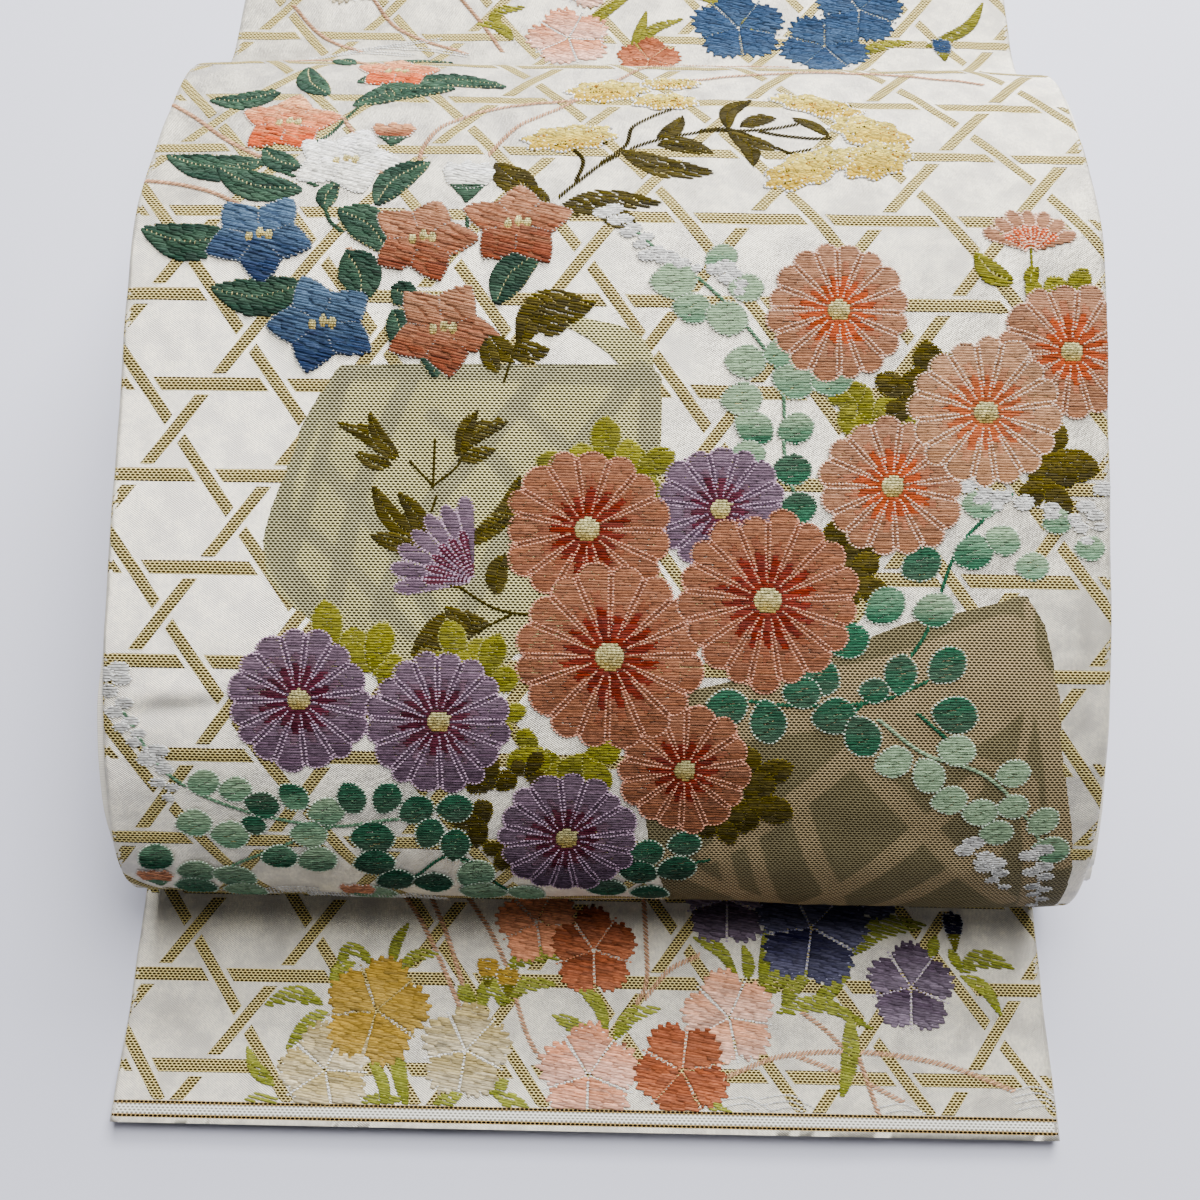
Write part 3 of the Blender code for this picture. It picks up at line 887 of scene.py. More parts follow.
            # Painted shade: a darker bed of the patch's colours, seen in the gaps between coarse floats.
            bed = COARSE_BED * upper + COARSE_BED * lower
            rows.append((left - 0.05, s, right + 0.05, s, PICK * 0.6, 0.04, *bed))
        for a, b in zip(ends[:-1], ends[1:]):
            share = 0.5
            if far != near:
                share = smoothstep((far - s) / (far - near) + rng.normal(0, BLEND_SPREAD))
            colour = upper + (lower - upper) * share
            colour = colour * (1 + rng.normal(0, spread)) + rng.uniform(0, 0.015)
            slope = tilt * (b - a) / 2
            wander = rng.normal(0, FLOAT_WANDER)
            height = FLOAT_HEIGHT * rng.uniform(*HEIGHT_SPREAD) * swell**2
            start = (a - FLOAT_OVERLAP, s + slope + wander)
            end = (b + FLOAT_OVERLAP, s - slope + wander)
            rows.append((*start, *end, FLOAT_HALF_WIDTH * swell, height, *np.clip(colour, 0, 1)))
        return piece, rows

    def threads(self):
        """All threads by piece: long floats and short stitches."""
        pieces = {}
        for row in range(self.patch_at.shape[0]):
            for first, last in self.runs(row):
                piece, rows = self.floats(row, first, last)
                pieces.setdefault((piece, "long"), []).extend(rows)
        for motif, piece, *thread in self.stitches:
            u = (thread[0] + thread[2]) / 2
            s = (thread[1] + thread[3]) / 2
            if self.motif_at[self.cell(u, s)] <= motif:
                pieces.setdefault((piece, "short"), []).append(thread)
        return pieces


def run_bounds(line):
    """Where each run of equal values starts along a line, and the line's end."""
    return np.concatenate(([0], np.flatnonzero(np.diff(line)) + 1, [len(line)]))


def headings(points):
    """The unit vector along a path at each of its points."""
    run = np.gradient(points, axis=0)
    return run / np.maximum(np.linalg.norm(run, axis=1, keepdims=True), 1e-6)


def beside(run):
    """Those vectors turned a quarter turn to the left."""
    return np.stack([-run[:, 1], run[:, 0]], axis=1)


def along(path, pitch):
    """Points about pitch apart on a path of (u, s) points."""
    path = np.asarray(path, float)
    step = np.linalg.norm(np.diff(path, axis=0), axis=1)
    travelled = np.concatenate(([0.0], np.cumsum(step)))
    where = np.linspace(0, travelled[-1], max(2, round(travelled[-1] / pitch) + 1))
    return np.stack([np.interp(where, travelled, path[:, axis]) for axis in (0, 1)], axis=1)


def curve(*points):
    """A smooth path through (u, s) points."""
    points = np.array(points, float)
    if len(points) == 2:
        return points
    return smooth_line(points, 1.0)


def polar(u, s, angle, radius):
    """(u, s) points at those angles and radii about a centre."""
    angle, radius = np.broadcast_arrays(angle, radius)
    return np.stack([u + radius * np.cos(angle), s + radius * np.sin(angle)], axis=1)


# ---------------------------------------------------------------- motifs

CORAL = {
    "outer": srgb(139, 89, 62), "low": srgb(124, 75, 50),
    "inner": srgb(102, 25, 5), "chain": srgb(212, 150, 124),
}
PEACH = {
    "outer": srgb(156, 112, 84), "low": srgb(142, 95, 66),
    "inner": srgb(156, 64, 22), "chain": srgb(240, 198, 174),
}
BLUSH = {
    "outer": srgb(172, 130, 98), "low": srgb(158, 113, 79),
    "inner": srgb(160, 78, 38), "chain": srgb(246, 214, 192),
}
MAUVE = {
    "outer": srgb(106, 87, 102), "low": srgb(88, 68, 85),
    "inner": srgb(72, 22, 38), "chain": srgb(180, 152, 175),
}
GREEN, GREEN_DEEP, GREEN_PALE = srgb(54, 80, 62), srgb(30, 54, 43), srgb(62, 84, 66)
MINT, MINT_DEEP, TEAL = srgb(139, 166, 132), srgb(96, 135, 105), srgb(32, 85, 60)
MINT_PALE = srgb(222, 238, 218)
LIME, LIME_DEEP, LIME_VEIN = srgb(130, 126, 28), srgb(102, 100, 14), srgb(188, 184, 100)
OLIVE, OLIVE_DEEP, OLIVE_VEIN = srgb(78, 67, 0), srgb(52, 44, 0), srgb(112, 100, 20)
SKY, BLUE = srgb(74, 98, 122), srgb(26, 44, 78)
BELL_PEACH, BELL_CORAL = srgb(166, 117, 86), srgb(116, 52, 26)
BELL_LIGHT, BELL_ORANGE = srgb(212, 152, 109), srgb(185, 72, 26)
WHITE, WHITE_LOW = srgb(250, 250, 246), srgb(230, 228, 216)
GOLD_PALE, GOLD_DEEP = srgb(201, 192, 134), srgb(145, 123, 59)
YELLOW, YELLOW_PALE = srgb(180, 146, 30), srgb(206, 188, 92)
STEM_PINK = srgb(196, 151, 117)
SILVER = srgb(226, 226, 222)
OCHRE, CREAM = srgb(159, 126, 37), srgb(177, 157, 99)
RUST, SALMON, PINK = srgb(134, 68, 38), srgb(204, 134, 96), srgb(214, 150, 112)
NAVY, GREY_MAUVE, DENIM = srgb(14, 12, 44), srgb(70, 55, 72), srgb(32, 58, 90)
NAVY_PALE, GREY_MAUVE_PALE = srgb(150, 150, 180), srgb(196, 180, 200)

TIP_NOTCH, TIP_POWER = 0.10, 2.4    # how far a petal's end is rounded off, and how suddenly
EYE_SHARE = 0.15                    # of a flower's radius
RAGGED_SHARE = (-1.0, -0.6, -0.45, -0.1, 0.1, 0.45, 0.6, 1.0)       # places across a petal's deep root
RAGGED_REACH = (0.60, 0.84, 0.70, 1.0, 0.84, 0.95, 0.72, 0.58)      # and how far the root goes there
ROOT_REACH = (0.50, 0.64)           # of a flower's radius
BLEND_REACH = 1.28                  # of the root's, for the shade between root and petal
LADDER_SIDE = 0.72                  # from a petal's edge to the dots beside it
BELL_WAIST, BELL_POINT, BELL_SHARPNESS = 0.67, 0.38, 1.3
BELL_EYES = ((-3.1, -0.3), (0.2, 0.8), (3.1, 0.2))
BUD_SHAPE = (
    (-0.5, 0.18), (-0.42, 0.42), (-0.2, 0.34), (-0.05, 0.5), (0.12, 0.36), (0.34, 0.44), (0.5, 0.16),
    (0.38, -0.2), (0.12, -0.34), (-0.16, -0.34), (-0.4, -0.16),
)
CALYX_SHAPE = ((-0.36, -0.2), (0.34, -0.22), (0.16, -0.52), (0.0, -0.72), (-0.14, -0.5))
BUD_SIZE = 4.0
LOBE_SPREAD = (-1.15, 0.0, 1.15)    # headings of a leaf's lobes, in radians
EYE_DARK = srgb(150, 96, 24)

# Rings of pearls on a yellow head: share of its size, colour, pitch.
PEARL_RINGS = ((1.0, WHITE, 1.45), (0.84, CREAM, 1.6), (0.66, WHITE_LOW, 2.2), (0.45, YELLOW_PALE, 1.8))


def circle(count):
    """That many angles, evenly round."""
    return np.linspace(0, math.tau, count, endpoint=False)


def turned(shape, degrees):
    """A shape of (u, s) points, turned about the origin."""
    c = math.cos(math.radians(degrees))
    d = math.sin(math.radians(degrees))
    return shape @ np.array([[c, d], [-d, c]])


def gilt_centre(chart, u, s, radius):
    """A round centre of short gilt stitches."""
    chart.fill(polar(u, s, circle(24), radius), "gilt_stitches", GOLD_PALE, GOLD_DEEP, longest=1.3)


def rounded(share, notch=TIP_NOTCH):
    """Reach of a petal's end, 1 in its middle and less by notch at its sides."""
    return 1 - notch * np.abs(share) ** TIP_POWER


def petal(u, s, middle, half, inner, outer, notch=TIP_NOTCH, inset=0.5):
    """A petal from radius inner to outer about its flower's centre, with a rounded outer end."""
    share = np.linspace(-1, 1, 9)
    lean_outer = half - inset / outer
    lean_inner = max(half - inset / inner, 0.02)
    tip = polar(u, s, middle + share * lean_outer, outer * rounded(share, notch))
    root = polar(u, s, middle + share[::-4] * lean_inner, inner)
    return np.concatenate([tip, root])


def petal_root(rng, u, s, middle, half, inner, outer):
    """The deep part of a petal: as wide as the petal at its root, ragged at its end."""
    share = np.array(RAGGED_SHARE)
    reach = outer * np.array(RAGGED_REACH) * rng.uniform(0.93, 1.07, len(share))
    end = polar(u, s, middle + share * (half - 0.3 / reach), reach)
    root = polar(u, s, middle + share[[-1, 0]] * half * 0.8, inner)
    return np.concatenate([end, root])


def chrysanthemum(chart, u, s, radius, tint, petals, turn):
    """A full flower seen from above: broad petals with deep ragged roots, and rows of dots between them."""
    chart.motif += 1
    piece = "chrysanthemum_threads"
    rng = chart.rng
    eye = radius * EYE_SHARE
    uneven = np.append(rng.uniform(-0.12, 0.12, petals), 0)
    edges = turn + math.tau / petals * (np.arange(petals + 1) + uneven)
    edges[-1] = edges[0] + math.tau
    halves = np.diff(edges) / 2
    middles = edges[:-1] + halves
    reaches = radius * rng.uniform(0.94, 1.03, petals)
    share = np.linspace(-1, 1, 9)
    disc = np.concatenate([
        polar(u, s, middle + share * half, (reach + 0.35) * rounded(share))
        for middle, half, reach in zip(middles, halves, reaches)
    ])
    chart.fill(disc, piece, tint["low"] * 0.8, longest=3.5)
    for middle, half, reach in zip(middles, halves, reaches):
        tone = rng.uniform(0.92, 1.06)
        chart.fill(petal(u, s, middle, half, eye, reach), piece, tint["outer"] * tone, tint["low"] * tone)
        reach_in = radius * rng.uniform(*ROOT_REACH)
        blend = petal_root(rng, u, s, middle, half, eye, reach_in * BLEND_REACH)
        chart.fill(blend, piece, 0.62 * tint["outer"] + 0.38 * tint["inner"])
        root = petal_root(rng, u, s, middle, half, eye, reach_in)
        chart.fill(root, piece, tint["inner"] * rng.uniform(0.85, 1.2))
    for edge, reach in zip(edges, reaches):
        for side, start in ((-LADDER_SIDE, 0.36), (LADDER_SIDE, 0.22)):
            ray = np.linspace(radius * start, reach * 0.94, 12)
            lean = side / ray * np.clip(ray / (0.6 * radius), 0.3, 1)
            path = polar(u, s, edge + lean, ray)
            chart.chain(path, piece, tint["chain"], pitch=1.05, half=0.4, height=0.62)
    chart.outline(disc, piece, tint["chain"], length=1.0, half=0.4, height=0.6)
    gilt_centre(chart, u, s, eye * 1.02)


def side_chrysanthemum(chart, u, s, length, angles, petals, tint):
    """A flower seen from the side: a fan of petals between two angles in degrees, short ones in front."""
    chart.motif += 1
    piece = "chrysanthemum_threads"
    low_angle, high_angle = map(math.radians, angles)
    step = (high_angle - low_angle) / petals
    for row in range(2):
        reach = length * (1 - 0.36 * row)
        middles = low_angle + step * (np.arange(petals - row) + 0.5 + 0.5 * row)
        for middle in middles:
            far = reach * chart.rng.uniform(0.94, 1.04)
            upper = tint["outer"] if row == 0 else tint["inner"] * 1.25
            shape = petal(u, s, middle, step * 0.5, 2.0, far, 0.16, 0.35)
            chart.fill(shape, piece, upper, tint["low"] if row == 0 else tint["inner"])
            chart.chain(shape[:10], piece, tint["chain"], pitch=1.2)
        for middle in middles[:-1]:
            ray = np.linspace(reach * 0.35, reach * 0.9, 5)
            chart.chain(polar(u, s, np.full(5, middle + step / 2), ray), piece, tint["chain"])


def bellflower(chart, u, s, radius, upper, lower, turn, squash=0.88):
    """A five-pointed bellflower of coarse slanting floats, paler above and deeper below."""
    chart.motif += 1
    piece = "bellflower_threads"
    tips = 5
    angle = circle(tips * 16)
    phase = np.abs(((angle - turn) / math.tau * tips + 0.5) % 1.0 - 0.5) * 2
    point = BELL_WAIST + BELL_POINT * (1 - phase) ** BELL_SHARPNESS
    reach = radius * point * (1 + 0.03 * np.sin(3 * angle + u))
    outline = polar(0, 0, angle, reach) * (1.0, squash) + (u, s)
    chart.fill(outline, piece, upper, lower, tilt=0.22, longest=6.0, coarse=True)
    pale = 0.5 * upper + 0.5 * WHITE
    chart.outline(outline, piece, pale, pitch=1.35, length=0.8, half=0.28, height=0.5)
    for k in range(tips):
        ray = np.linspace(radius * 0.30, radius * 0.6, 4)
        notch = polar(0, 0, np.full(4, turn + math.tau * (k + 0.5) / tips), ray)
        chart.chain(notch * (1.0, squash) + (u, s), piece, 0.7 * pale, height=0.7, half=0.28)
    for du, ds in BELL_EYES:
        shape = polar(0, 0, circle(14), 1.0) * (1.3, 2.0) + (u + du, s + ds)
        chart.fill(shape, "gilt_stitches", GOLD_PALE, GOLD_DEEP, longest=1.0)


def bud(chart, u, s, width, height, upper, lower, calyx, piece):
    """A closed bell of slanting floats over a green calyx."""
    chart.motif += 1
    outline = np.array(BUD_SHAPE) * (width, height) + (u, s)
    chart.fill(outline, piece, upper, lower, tilt=0.12, longest=4.5)
    chart.outline(outline, piece, 0.4 * upper + 0.6 * WHITE, pitch=1.3, length=0.8, half=0.3)
    cup = np.array(CALYX_SHAPE) * (width, height)
    chart.fill(cup + (u, s), "leaf_threads", calyx, calyx * 0.7)


def blade_outline(path, width, front):
    """The outline and middle line of a tapering blade along a path, widest at the share front of it."""
    path = along(path, 1.2)
    share = np.linspace(0, 1, len(path))
    swell = np.where(share < front, share / front, (1 - share) / (1 - front))
    half = width / 2 * np.sin(swell * math.pi / 2) ** 0.75
    side = beside(headings(path)) * half[:, None]
    return np.concatenate([path + side, (path - side)[::-1]]), path


def leaf(chart, base, tip, width, colours, vein, bend=0.12, coarse=False):
    """A pointed leaf in two tones, with upright stitches along its vein."""
    chart.motif += 1
    piece = "leaf_threads"
    base = np.array(base, float)
    tip = np.array(tip, float)
    run = tip - base
    middle = (base + tip) / 2 + np.array([-run[1], run[0]]) * bend
    outline, path = blade_outline(curve(base, middle, tip), width, 0.45)
    half = len(path)
    above = np.concatenate([outline[:half], path[::-1]])
    below = np.concatenate([outline[half:], path])
    if above[:, 1].mean() < below[:, 1].mean():
        above, below = below, above
    longest = 4.5 if coarse else 6.0
    chart.fill(above, piece, colours[0], colours[1], tilt=0.16, longest=longest, coarse=coarse)
    chart.fill(below, piece, colours[1], colours[0], tilt=0.16, longest=longest, coarse=coarse)
    chart.chain(path[2:-2], piece, vein, pitch=1.6, length=1.3, half=0.26, height=0.72, lie=(0.25, 1.0))
    if coarse:
        chart.chain(outline[half + 2:-2], piece, vein, pitch=1.6, length=0.8, half=0.26, height=0.6)


def lobed_leaf(chart, base, size, heading, colours, vein):
    """A chrysanthemum leaf: rounded lobes about its base, the middle one over the others."""
    chart.motif += 1
    piece = "leaf_threads"
    base = np.array(base, float)
    for lean in sorted(LOBE_SPREAD, key=abs, reverse=True):
        angle = math.radians(heading) + lean
        reach = size * (1.04 - 0.24 * abs(lean)) * chart.rng.uniform(0.94, 1.06)
        tip = base + reach * np.array([math.cos(angle), math.sin(angle)])
        outline, path = blade_outline([base, tip], size * 0.56, 0.66)
        tone = chart.rng.uniform(0.8, 1.25)
        chart.fill(outline, piece, colours[0] * tone, colours[1] * tone, longest=5.0)
        chart.chain(outline[len(path) // 3:], piece, vein, pitch=1.35, length=0.8, half=0.28)


def oval_leaf(chart, u, s, angle, upper, lower, length, width):
    """A rounded leaflet, with small pale stitches round it and a few along its middle."""
    chart.motif += 1
    piece = "hagi_threads"
    turn = circle(30)
    across = np.sin(turn) * np.abs(np.sin(turn)) ** 0.3 * width / 2
    shape = np.stack([np.cos(turn) * length / 2, across * (1 + 0.12 * np.cos(turn))], axis=1)
    outline = turned(shape, angle) + (u, s)
    chart.fill(outline, piece, upper, lower, tilt=-0.03)
    edge = 0.25 * upper + 0.75 * MINT_PALE
    chart.outline(outline, piece, edge, pitch=1.3, length=0.85, half=0.32, height=0.5)
    vein = turned(np.array([(-length * 0.3, 0.0), (length * 0.3, 0.0)]), angle) + (u, s)
    chart.chain(vein, piece, 0.6 * upper + 0.4 * MINT, pitch=2.2, length=1.0, half=0.28, height=0.52)


def spray(chart, path, count, colour):
    """Small buds left and right of a path, smaller towards its end."""
    chart.motif += 1
    piece = "white_buds"
    points = along(path, 1.0)
    for k in range(count):
        share = k / max(1, count - 1)
        place = points[int(share * (len(points) - 1))]
        scale = BUD_SIZE * (1 - 0.45 * share)
        place = place + np.array([(-1) ** k * scale * 0.62, chart.rng.normal(0, 0.5)])
        outline = polar(0, 0, circle(12), 1.0) * np.array([scale * 0.85, scale * 0.52]) + place
        chart.fill(outline, piece, colour * 0.75, colour * 0.6, longest=4)
        chart.outline(outline, piece, WHITE, pitch=1.3, length=0.75, half=0.28, height=0.5)
    chart.chain(points, piece, colour, pitch=1.3)


def patrinia(chart, u, s, width, height, lean):
    """A flat head of tiny yellow blossoms, edged with pale pearls."""
    chart.motif += 1
    piece = "yellow_blossom"
    turn = circle(40)
    edge = 1 + 0.12 * np.cos(turn * 8 + u)
    flat = np.stack([np.cos(turn) * edge * width / 2, np.sin(turn) * edge * height / 2], axis=1)
    outline = turned(flat, lean)
    chart.fill(outline + (u, s), piece, YELLOW_PALE, YELLOW, tilt=0.2, longest=3.2, coarse=True)
    for ring, colour, pitch in PEARL_RINGS:
        path = outline * ring + (u, s)
        chart.outline(path, piece, colour, pitch=pitch, length=1.2, half=0.42, height=0.75)
    for colour in (OLIVE_DEEP, OLIVE, EYE_DARK, EYE_DARK):
        for place in chart.rng.uniform(-0.34, 0.34, (3, 2)) * (width, height):
            spot = turned(place, lean) + (u, s - height * 0.08)
            path = [spot, spot + (1.8, 0.6)]
            chart.chain(path, piece, colour, pitch=1.2, length=1.2, half=0.3, height=0.85)


def dianthus(chart, u, s, radius, colour, pale, turn):
    """A fringed pink: five fan petals with toothed ends, pale chains between them."""
    chart.motif += 1
    piece = "dianthus_threads"
    petals = 5
    step = math.tau / petals
    for k in range(petals):
        middle = turn + step * k
        share = np.linspace(-1, 1, 13)
        teeth = np.where(np.arange(13) % 2 == 0, 1.0, 0.86)
        reach = radius * teeth * (1.06 - 0.22 * share**2)
        tip = polar(u, s, middle + share * (step / 2 - 0.7 / radius), reach)
        root = polar(u, s, np.array([middle]), 0.6)
        tone = chart.rng.uniform(0.92, 1.08)
        shape = np.concatenate([tip, root])
        lower = (0.75 * colour + 0.25 * pale) * tone
        chart.fill(shape, piece, colour * tone, lower, tilt=0.15, longest=6.0, coarse=True)
        chart.chain(tip[1::2], piece, pale, pitch=2.6, length=1.1, half=0.3, height=0.5)
    for k in range(petals):
        ray = np.linspace(1.0, radius * 0.88, 8)
        chart.chain(polar(u, s, np.full(8, turn + step * (k + 0.5)), ray), piece, pale, pitch=1.2)


def blade(chart, points, width, colours):
    """A narrow leaf along a path."""
    chart.motif += 1
    piece = "leaf_threads"
    outline, path = blade_outline(curve(*points), width, 0.4)
    chart.fill(outline, piece, colours[0], colours[1], tilt=0.2, longest=5)
    vein = 0.5 * colours[0] + 0.5 * LIME_VEIN
    chart.chain(path[1:-1], piece, vein, pitch=2.3, length=0.9, half=0.28, height=0.52)


# ---------------------------------------------------------------- gold grounds and end line

# A ground has rows of s, left u and right u, its tone, its ribbons' tone, and each ribbon's path and half
# width.
LEFT_GROUND = {
    "rows": (
        (975, -60, -30), (978, -68, -28), (983, -80, -12), (988, -92, -8), (994, -100, -2), (1002, -106, 5),
        (1012, -107, 10), (1022, -105, 14), (1034, -101, 15), (1048, -97, 15.5), (1058, -92, 15.5),
        (1066, -87, 15), (1068.4, -85, 12.5), (1069.2, 2, 12.5), (1073, -2, 12), (1078, -9, 9),
        (1082, -17, 2), (1085, -24, -14),
    ),
    "tone": srgb(222, 214, 152),
    "ribbon": srgb(170, 166, 132),
    "ribbons": (
        (((-84, 1066), (-40, 1066.5), (12, 1065)), 3.2),
        (((-84, 1066), (-95, 1050), (-102, 1028), (-101, 1006), (-86, 988)), 4.0),
        (((12, 1066), (11, 1040), (7, 1008)), 3.6), (((-84, 1068), (-90, 1040), (-99, 1004)), 2.5),
        (((-62, 1068), (-77, 1030), (-86, 984)), 3.0), (((-90, 1036), (-66, 1010), (-48, 980)), 2.8),
        (((-20, 1069), (-36, 1048), (-58, 1020), (-70, 990)), 3.2),
        (((8, 1068), (-8, 1046), (-28, 1022), (-44, 990)), 3.0),
        (((-56, 1052), (-34, 1036), (-16, 1010), (-10, 990)), 2.6),
        (((-30, 1056), (-10, 1040), (12, 1030)), 2.4), (((-100, 1020), (-80, 1004), (-60, 984)), 2.4),
    ),
}
RIGHT_GROUND = {
    "rows": (
        (878, 24, 150), (888, 22, 150), (900, 20, 150), (912, 16, 149), (924, 14, 147), (936, 14, 144),
        (950, 18, 141), (962, 22, 139.5), (968, 26, 139), (974, 50, 137.5), (980, 70, 136.5),
        (986, 82, 135), (990, 92, 134), (994, 110, 131.5), (997, 121, 129.5), (999, 126, 128.5),
    ),
    "tone": srgb(132, 122, 92),
    "ribbon": srgb(182, 160, 122),
    "ribbons": (
        (((44, 962), (84, 970), (122, 984)), 9.0), (((90, 952), (112, 962), (126, 974)), 9.0),
        (((134, 972), (140, 945), (145, 915)), 4.5), (((94, 970), (74, 947), (52, 927), (34, 914)), 3.4),
        (((60, 934), (67, 915), (75, 898), (80, 880)), 3.2),
        (((80, 946), (96, 930), (113, 912), (132, 894)), 3.4),
        (((114, 940), (97, 921), (82, 904), (68, 886)), 3.4), (((122, 920), (106, 903), (92, 886)), 3.0),
        (((44, 932), (50, 910), (58, 886)), 2.4), (((36, 926), (41, 905), (48, 884)), 2.2),
        (((18, 914), (40, 898), (62, 884)), 3.0), (((129, 996), (130, 968), (127, 940), (124, 912)), 1.6),
        (((131, 940), (136, 915), (140, 890)), 3.2), (((66, 972), (82, 960), (100, 952), (128, 944)), 1.6),
    ),
}


GROUND_STEP = 0.8               # between the points of a gilt ground
GROUND_LIFT = 0.15
GROUND_CLOUD = 0.10             # how far its tone drifts
RIBBON_EDGE = 0.6               # width over which a ribbon fades out
RIBBON_COVER = 0.85


def gilt_ground(name, stretch, design):
    """A patch of gilt ground between its left and right edges, with ribbons of another tone across it."""
    edges = np.array(design["rows"], float)
    s = np.arange(edges[0, 0], edges[-1, 0], GROUND_STEP)
    left = np.interp(s, edges[:, 0], edges[:, 1])
    right = np.interp(s, edges[:, 0], edges[:, 2])
    columns = int((right - left).max() / GROUND_STEP)
    u = left[:, None] + (right - left)[:, None] * np.linspace(0, 1, columns)
    u = np.round(u / TIE_PITCH[0] * 2) * TIE_PITCH[0] / 2 * 0.5 + u * 0.5
    s_grid = np.broadcast_to(s[:, None], u.shape)
    lift = np.full(u.shape, GROUND_LIFT)
    lift[[0, -1], :] = 0.0
    lift[:, [0, -1]] = 0.0
    cloudy = Waves(31, 30.0)
    colours = design["tone"] * (1 + GROUND_CLOUD * cloudy(u, s_grid))[..., None]
    for path, half in design["ribbons"]:
        away = np.full(u.shape, np.inf)
        for point in along(curve(*path), 1.5):
            away = np.minimum(away, np.hypot(u - point[0], s_grid - point[1]))
        share = smoothstep((half - away) / RIBBON_EDGE + 0.5)[..., None]
        colours = colours + (design["ribbon"] * 1.02 - colours) * share * RIBBON_COVER
    points = stretch.place(u, s_grid, lift).reshape(-1, 3)
    cloth = np.stack([u.ravel(), s_grid.ravel()], axis=1)
    quads = strip_quads(len(s), columns)
    return mesh_object(name, points, quads, GROUND_GILT, colours=colours.reshape(-1, 3), cloth=cloth)


def band(name, stretch, low, high, lift, material):
    """A flat woven band across the whole cloth."""
    u = np.linspace(-HALF_WIDTH + 0.6, HALF_WIDTH - 0.6, 220)
    turn = 0.25
    s = np.array([low, low + turn, (low + high) / 2, high - turn, high])
    rise = np.array([0.0, lift, lift, lift, 0.0])
    grid_u, grid_s = np.meshgrid(u, s)
    points = stretch.place(grid_u, grid_s, np.broadcast_to(rise[:, None], grid_u.shape)).reshape(-1, 3)
    cloth = np.stack([grid_u.ravel(), grid_s.ravel()], axis=1)
    return mesh_object(name, points, strip_quads(len(s), len(u)), material, cloth=cloth)


# ---------------------------------------------------------------- the design, drawn on the cloth

def grass_stems(chart):
    """Twisted pink-beige stems of silver grass, under the flowers."""
    for path in (
        ((-156, 1174), (-142, 1162), (-129, 1150), (-107, 1136)),
        ((-156, 1132), (-142, 1130), (-130, 1126), (-121, 1121)),
        ((-94, 1164), (-87, 1152), (-75, 1132)),
        ((-85, 1106), (-75, 1099)),
        ((-66, 1138), (-65, 1150), (-59, 1161), (-40, 1172), (-12, 1178)),
        ((-43, 1146), (-34, 1161), (-20, 1173), (-4, 1190), (10, 1206), (34, 1214), (60, 1210)),
        ((10, 1190), (28, 1194), (49, 1199), (80, 1203), (104, 1199), (127, 1193)),
        ((-134, 1280), (-120, 1263), (-104, 1254)),
        ((-102, 1284), (-90, 1268), (-62, 1254)),
        ((-74, 1294), (-60, 1276), (-48, 1256)),
        ((-150, 1226), (-118, 1216), (-92, 1204)),
    ):
        chart.twist(curve(*path), "stem_threads", STEM_PINK)


def bellflowers(chart):
    """The spray of bellflowers at the far left."""
    green, deep = (GREEN, GREEN_DEEP), (GREEN_DEEP, GREEN)
    for base, tip, width, tones in (
        ((-118, 1180), (-142, 1174), 9.5, green), ((-101, 1178), (-112, 1198), 10, deep),
        ((-96, 1203), (-104, 1214), 8, green), ((-84, 1204), (-62, 1214), 8, green),
        ((-78, 1186), (-40, 1186), 9, deep), ((-92, 1172), (-58, 1184), 11, green),
        ((-84, 1196), (-93, 1187), 6, green), ((-116, 1140), (-150, 1144), 12, deep),
        ((-102, 1128), (-132, 1138), 12, green), ((-104, 1138), (-118, 1147), 9, deep),
        ((-122, 1110), (-152, 1112), 13, deep), ((-98, 1094), (-128, 1092), 13, deep),
        ((-90, 1120), (-72, 1104), 13, green), ((-86, 1105), (-80, 1088), 14, deep),
        ((-78, 1122), (-62, 1142), 11, deep), ((-94, 1120), (-91, 1132), 7, green),
        ((-82, 1184), (-78, 1176), 5, green), ((-38, 1088), (-24, 1106), 11, deep),
        ((-70, 1086), (-68, 1072), 9, deep), ((-60, 1076), (-56, 1064), 8, deep),
        ((-71, 1093), (-64, 1087), 9, deep),
    ):
        leaf(chart, base, tip, width, tones, GOLD_PALE * 0.75, coarse=True)
    for path in (
        ((-83, 1186), (-92, 1166), (-97, 1155), (-104, 1148)), ((-96, 1127), (-92, 1116), (-88, 1112)),
        ((-48, 1120), (-48, 1112)), ((-98, 1130), (-110, 1136)),
    ):
        chart.twist(curve(*path), "leaf_threads", GREEN, width=1.4)
    bud(chart, -76, 1157, 15, 11, BELL_LIGHT, BELL_CORAL, GREEN, "bellflower_threads")
    bellflower(chart, -80, 1196, 15, BELL_LIGHT, BELL_ORANGE, 1.57, squash=0.78)
    bellflower(chart, -112, 1161, 17, BELL_LIGHT, BELL_ORANGE, 1.50, squash=0.95)
    bellflower(chart, -90, 1142, 18, WHITE, WHITE_LOW, 1.30, squash=0.85)
    bud(chart, -49, 1135, 17, 16, WHITE, WHITE_LOW, GREEN, "bellflower_threads")
    bellflower(chart, -114, 1110, 17.5, SKY, BLUE, 1.05)
    bellflower(chart, -92, 1081, 17.5, SKY, BLUE, 1.95)
    bellflower(chart, -62, 1110, 17, BELL_PEACH, BELL_CORAL, 1.30)
    bellflower(chart, -32, 1116, 17.5, BELL_PEACH, BELL_CORAL, 0.30)
    bellflower(chart, -54, 1080, 17.5, BELL_PEACH, BELL_CORAL, 1.10)


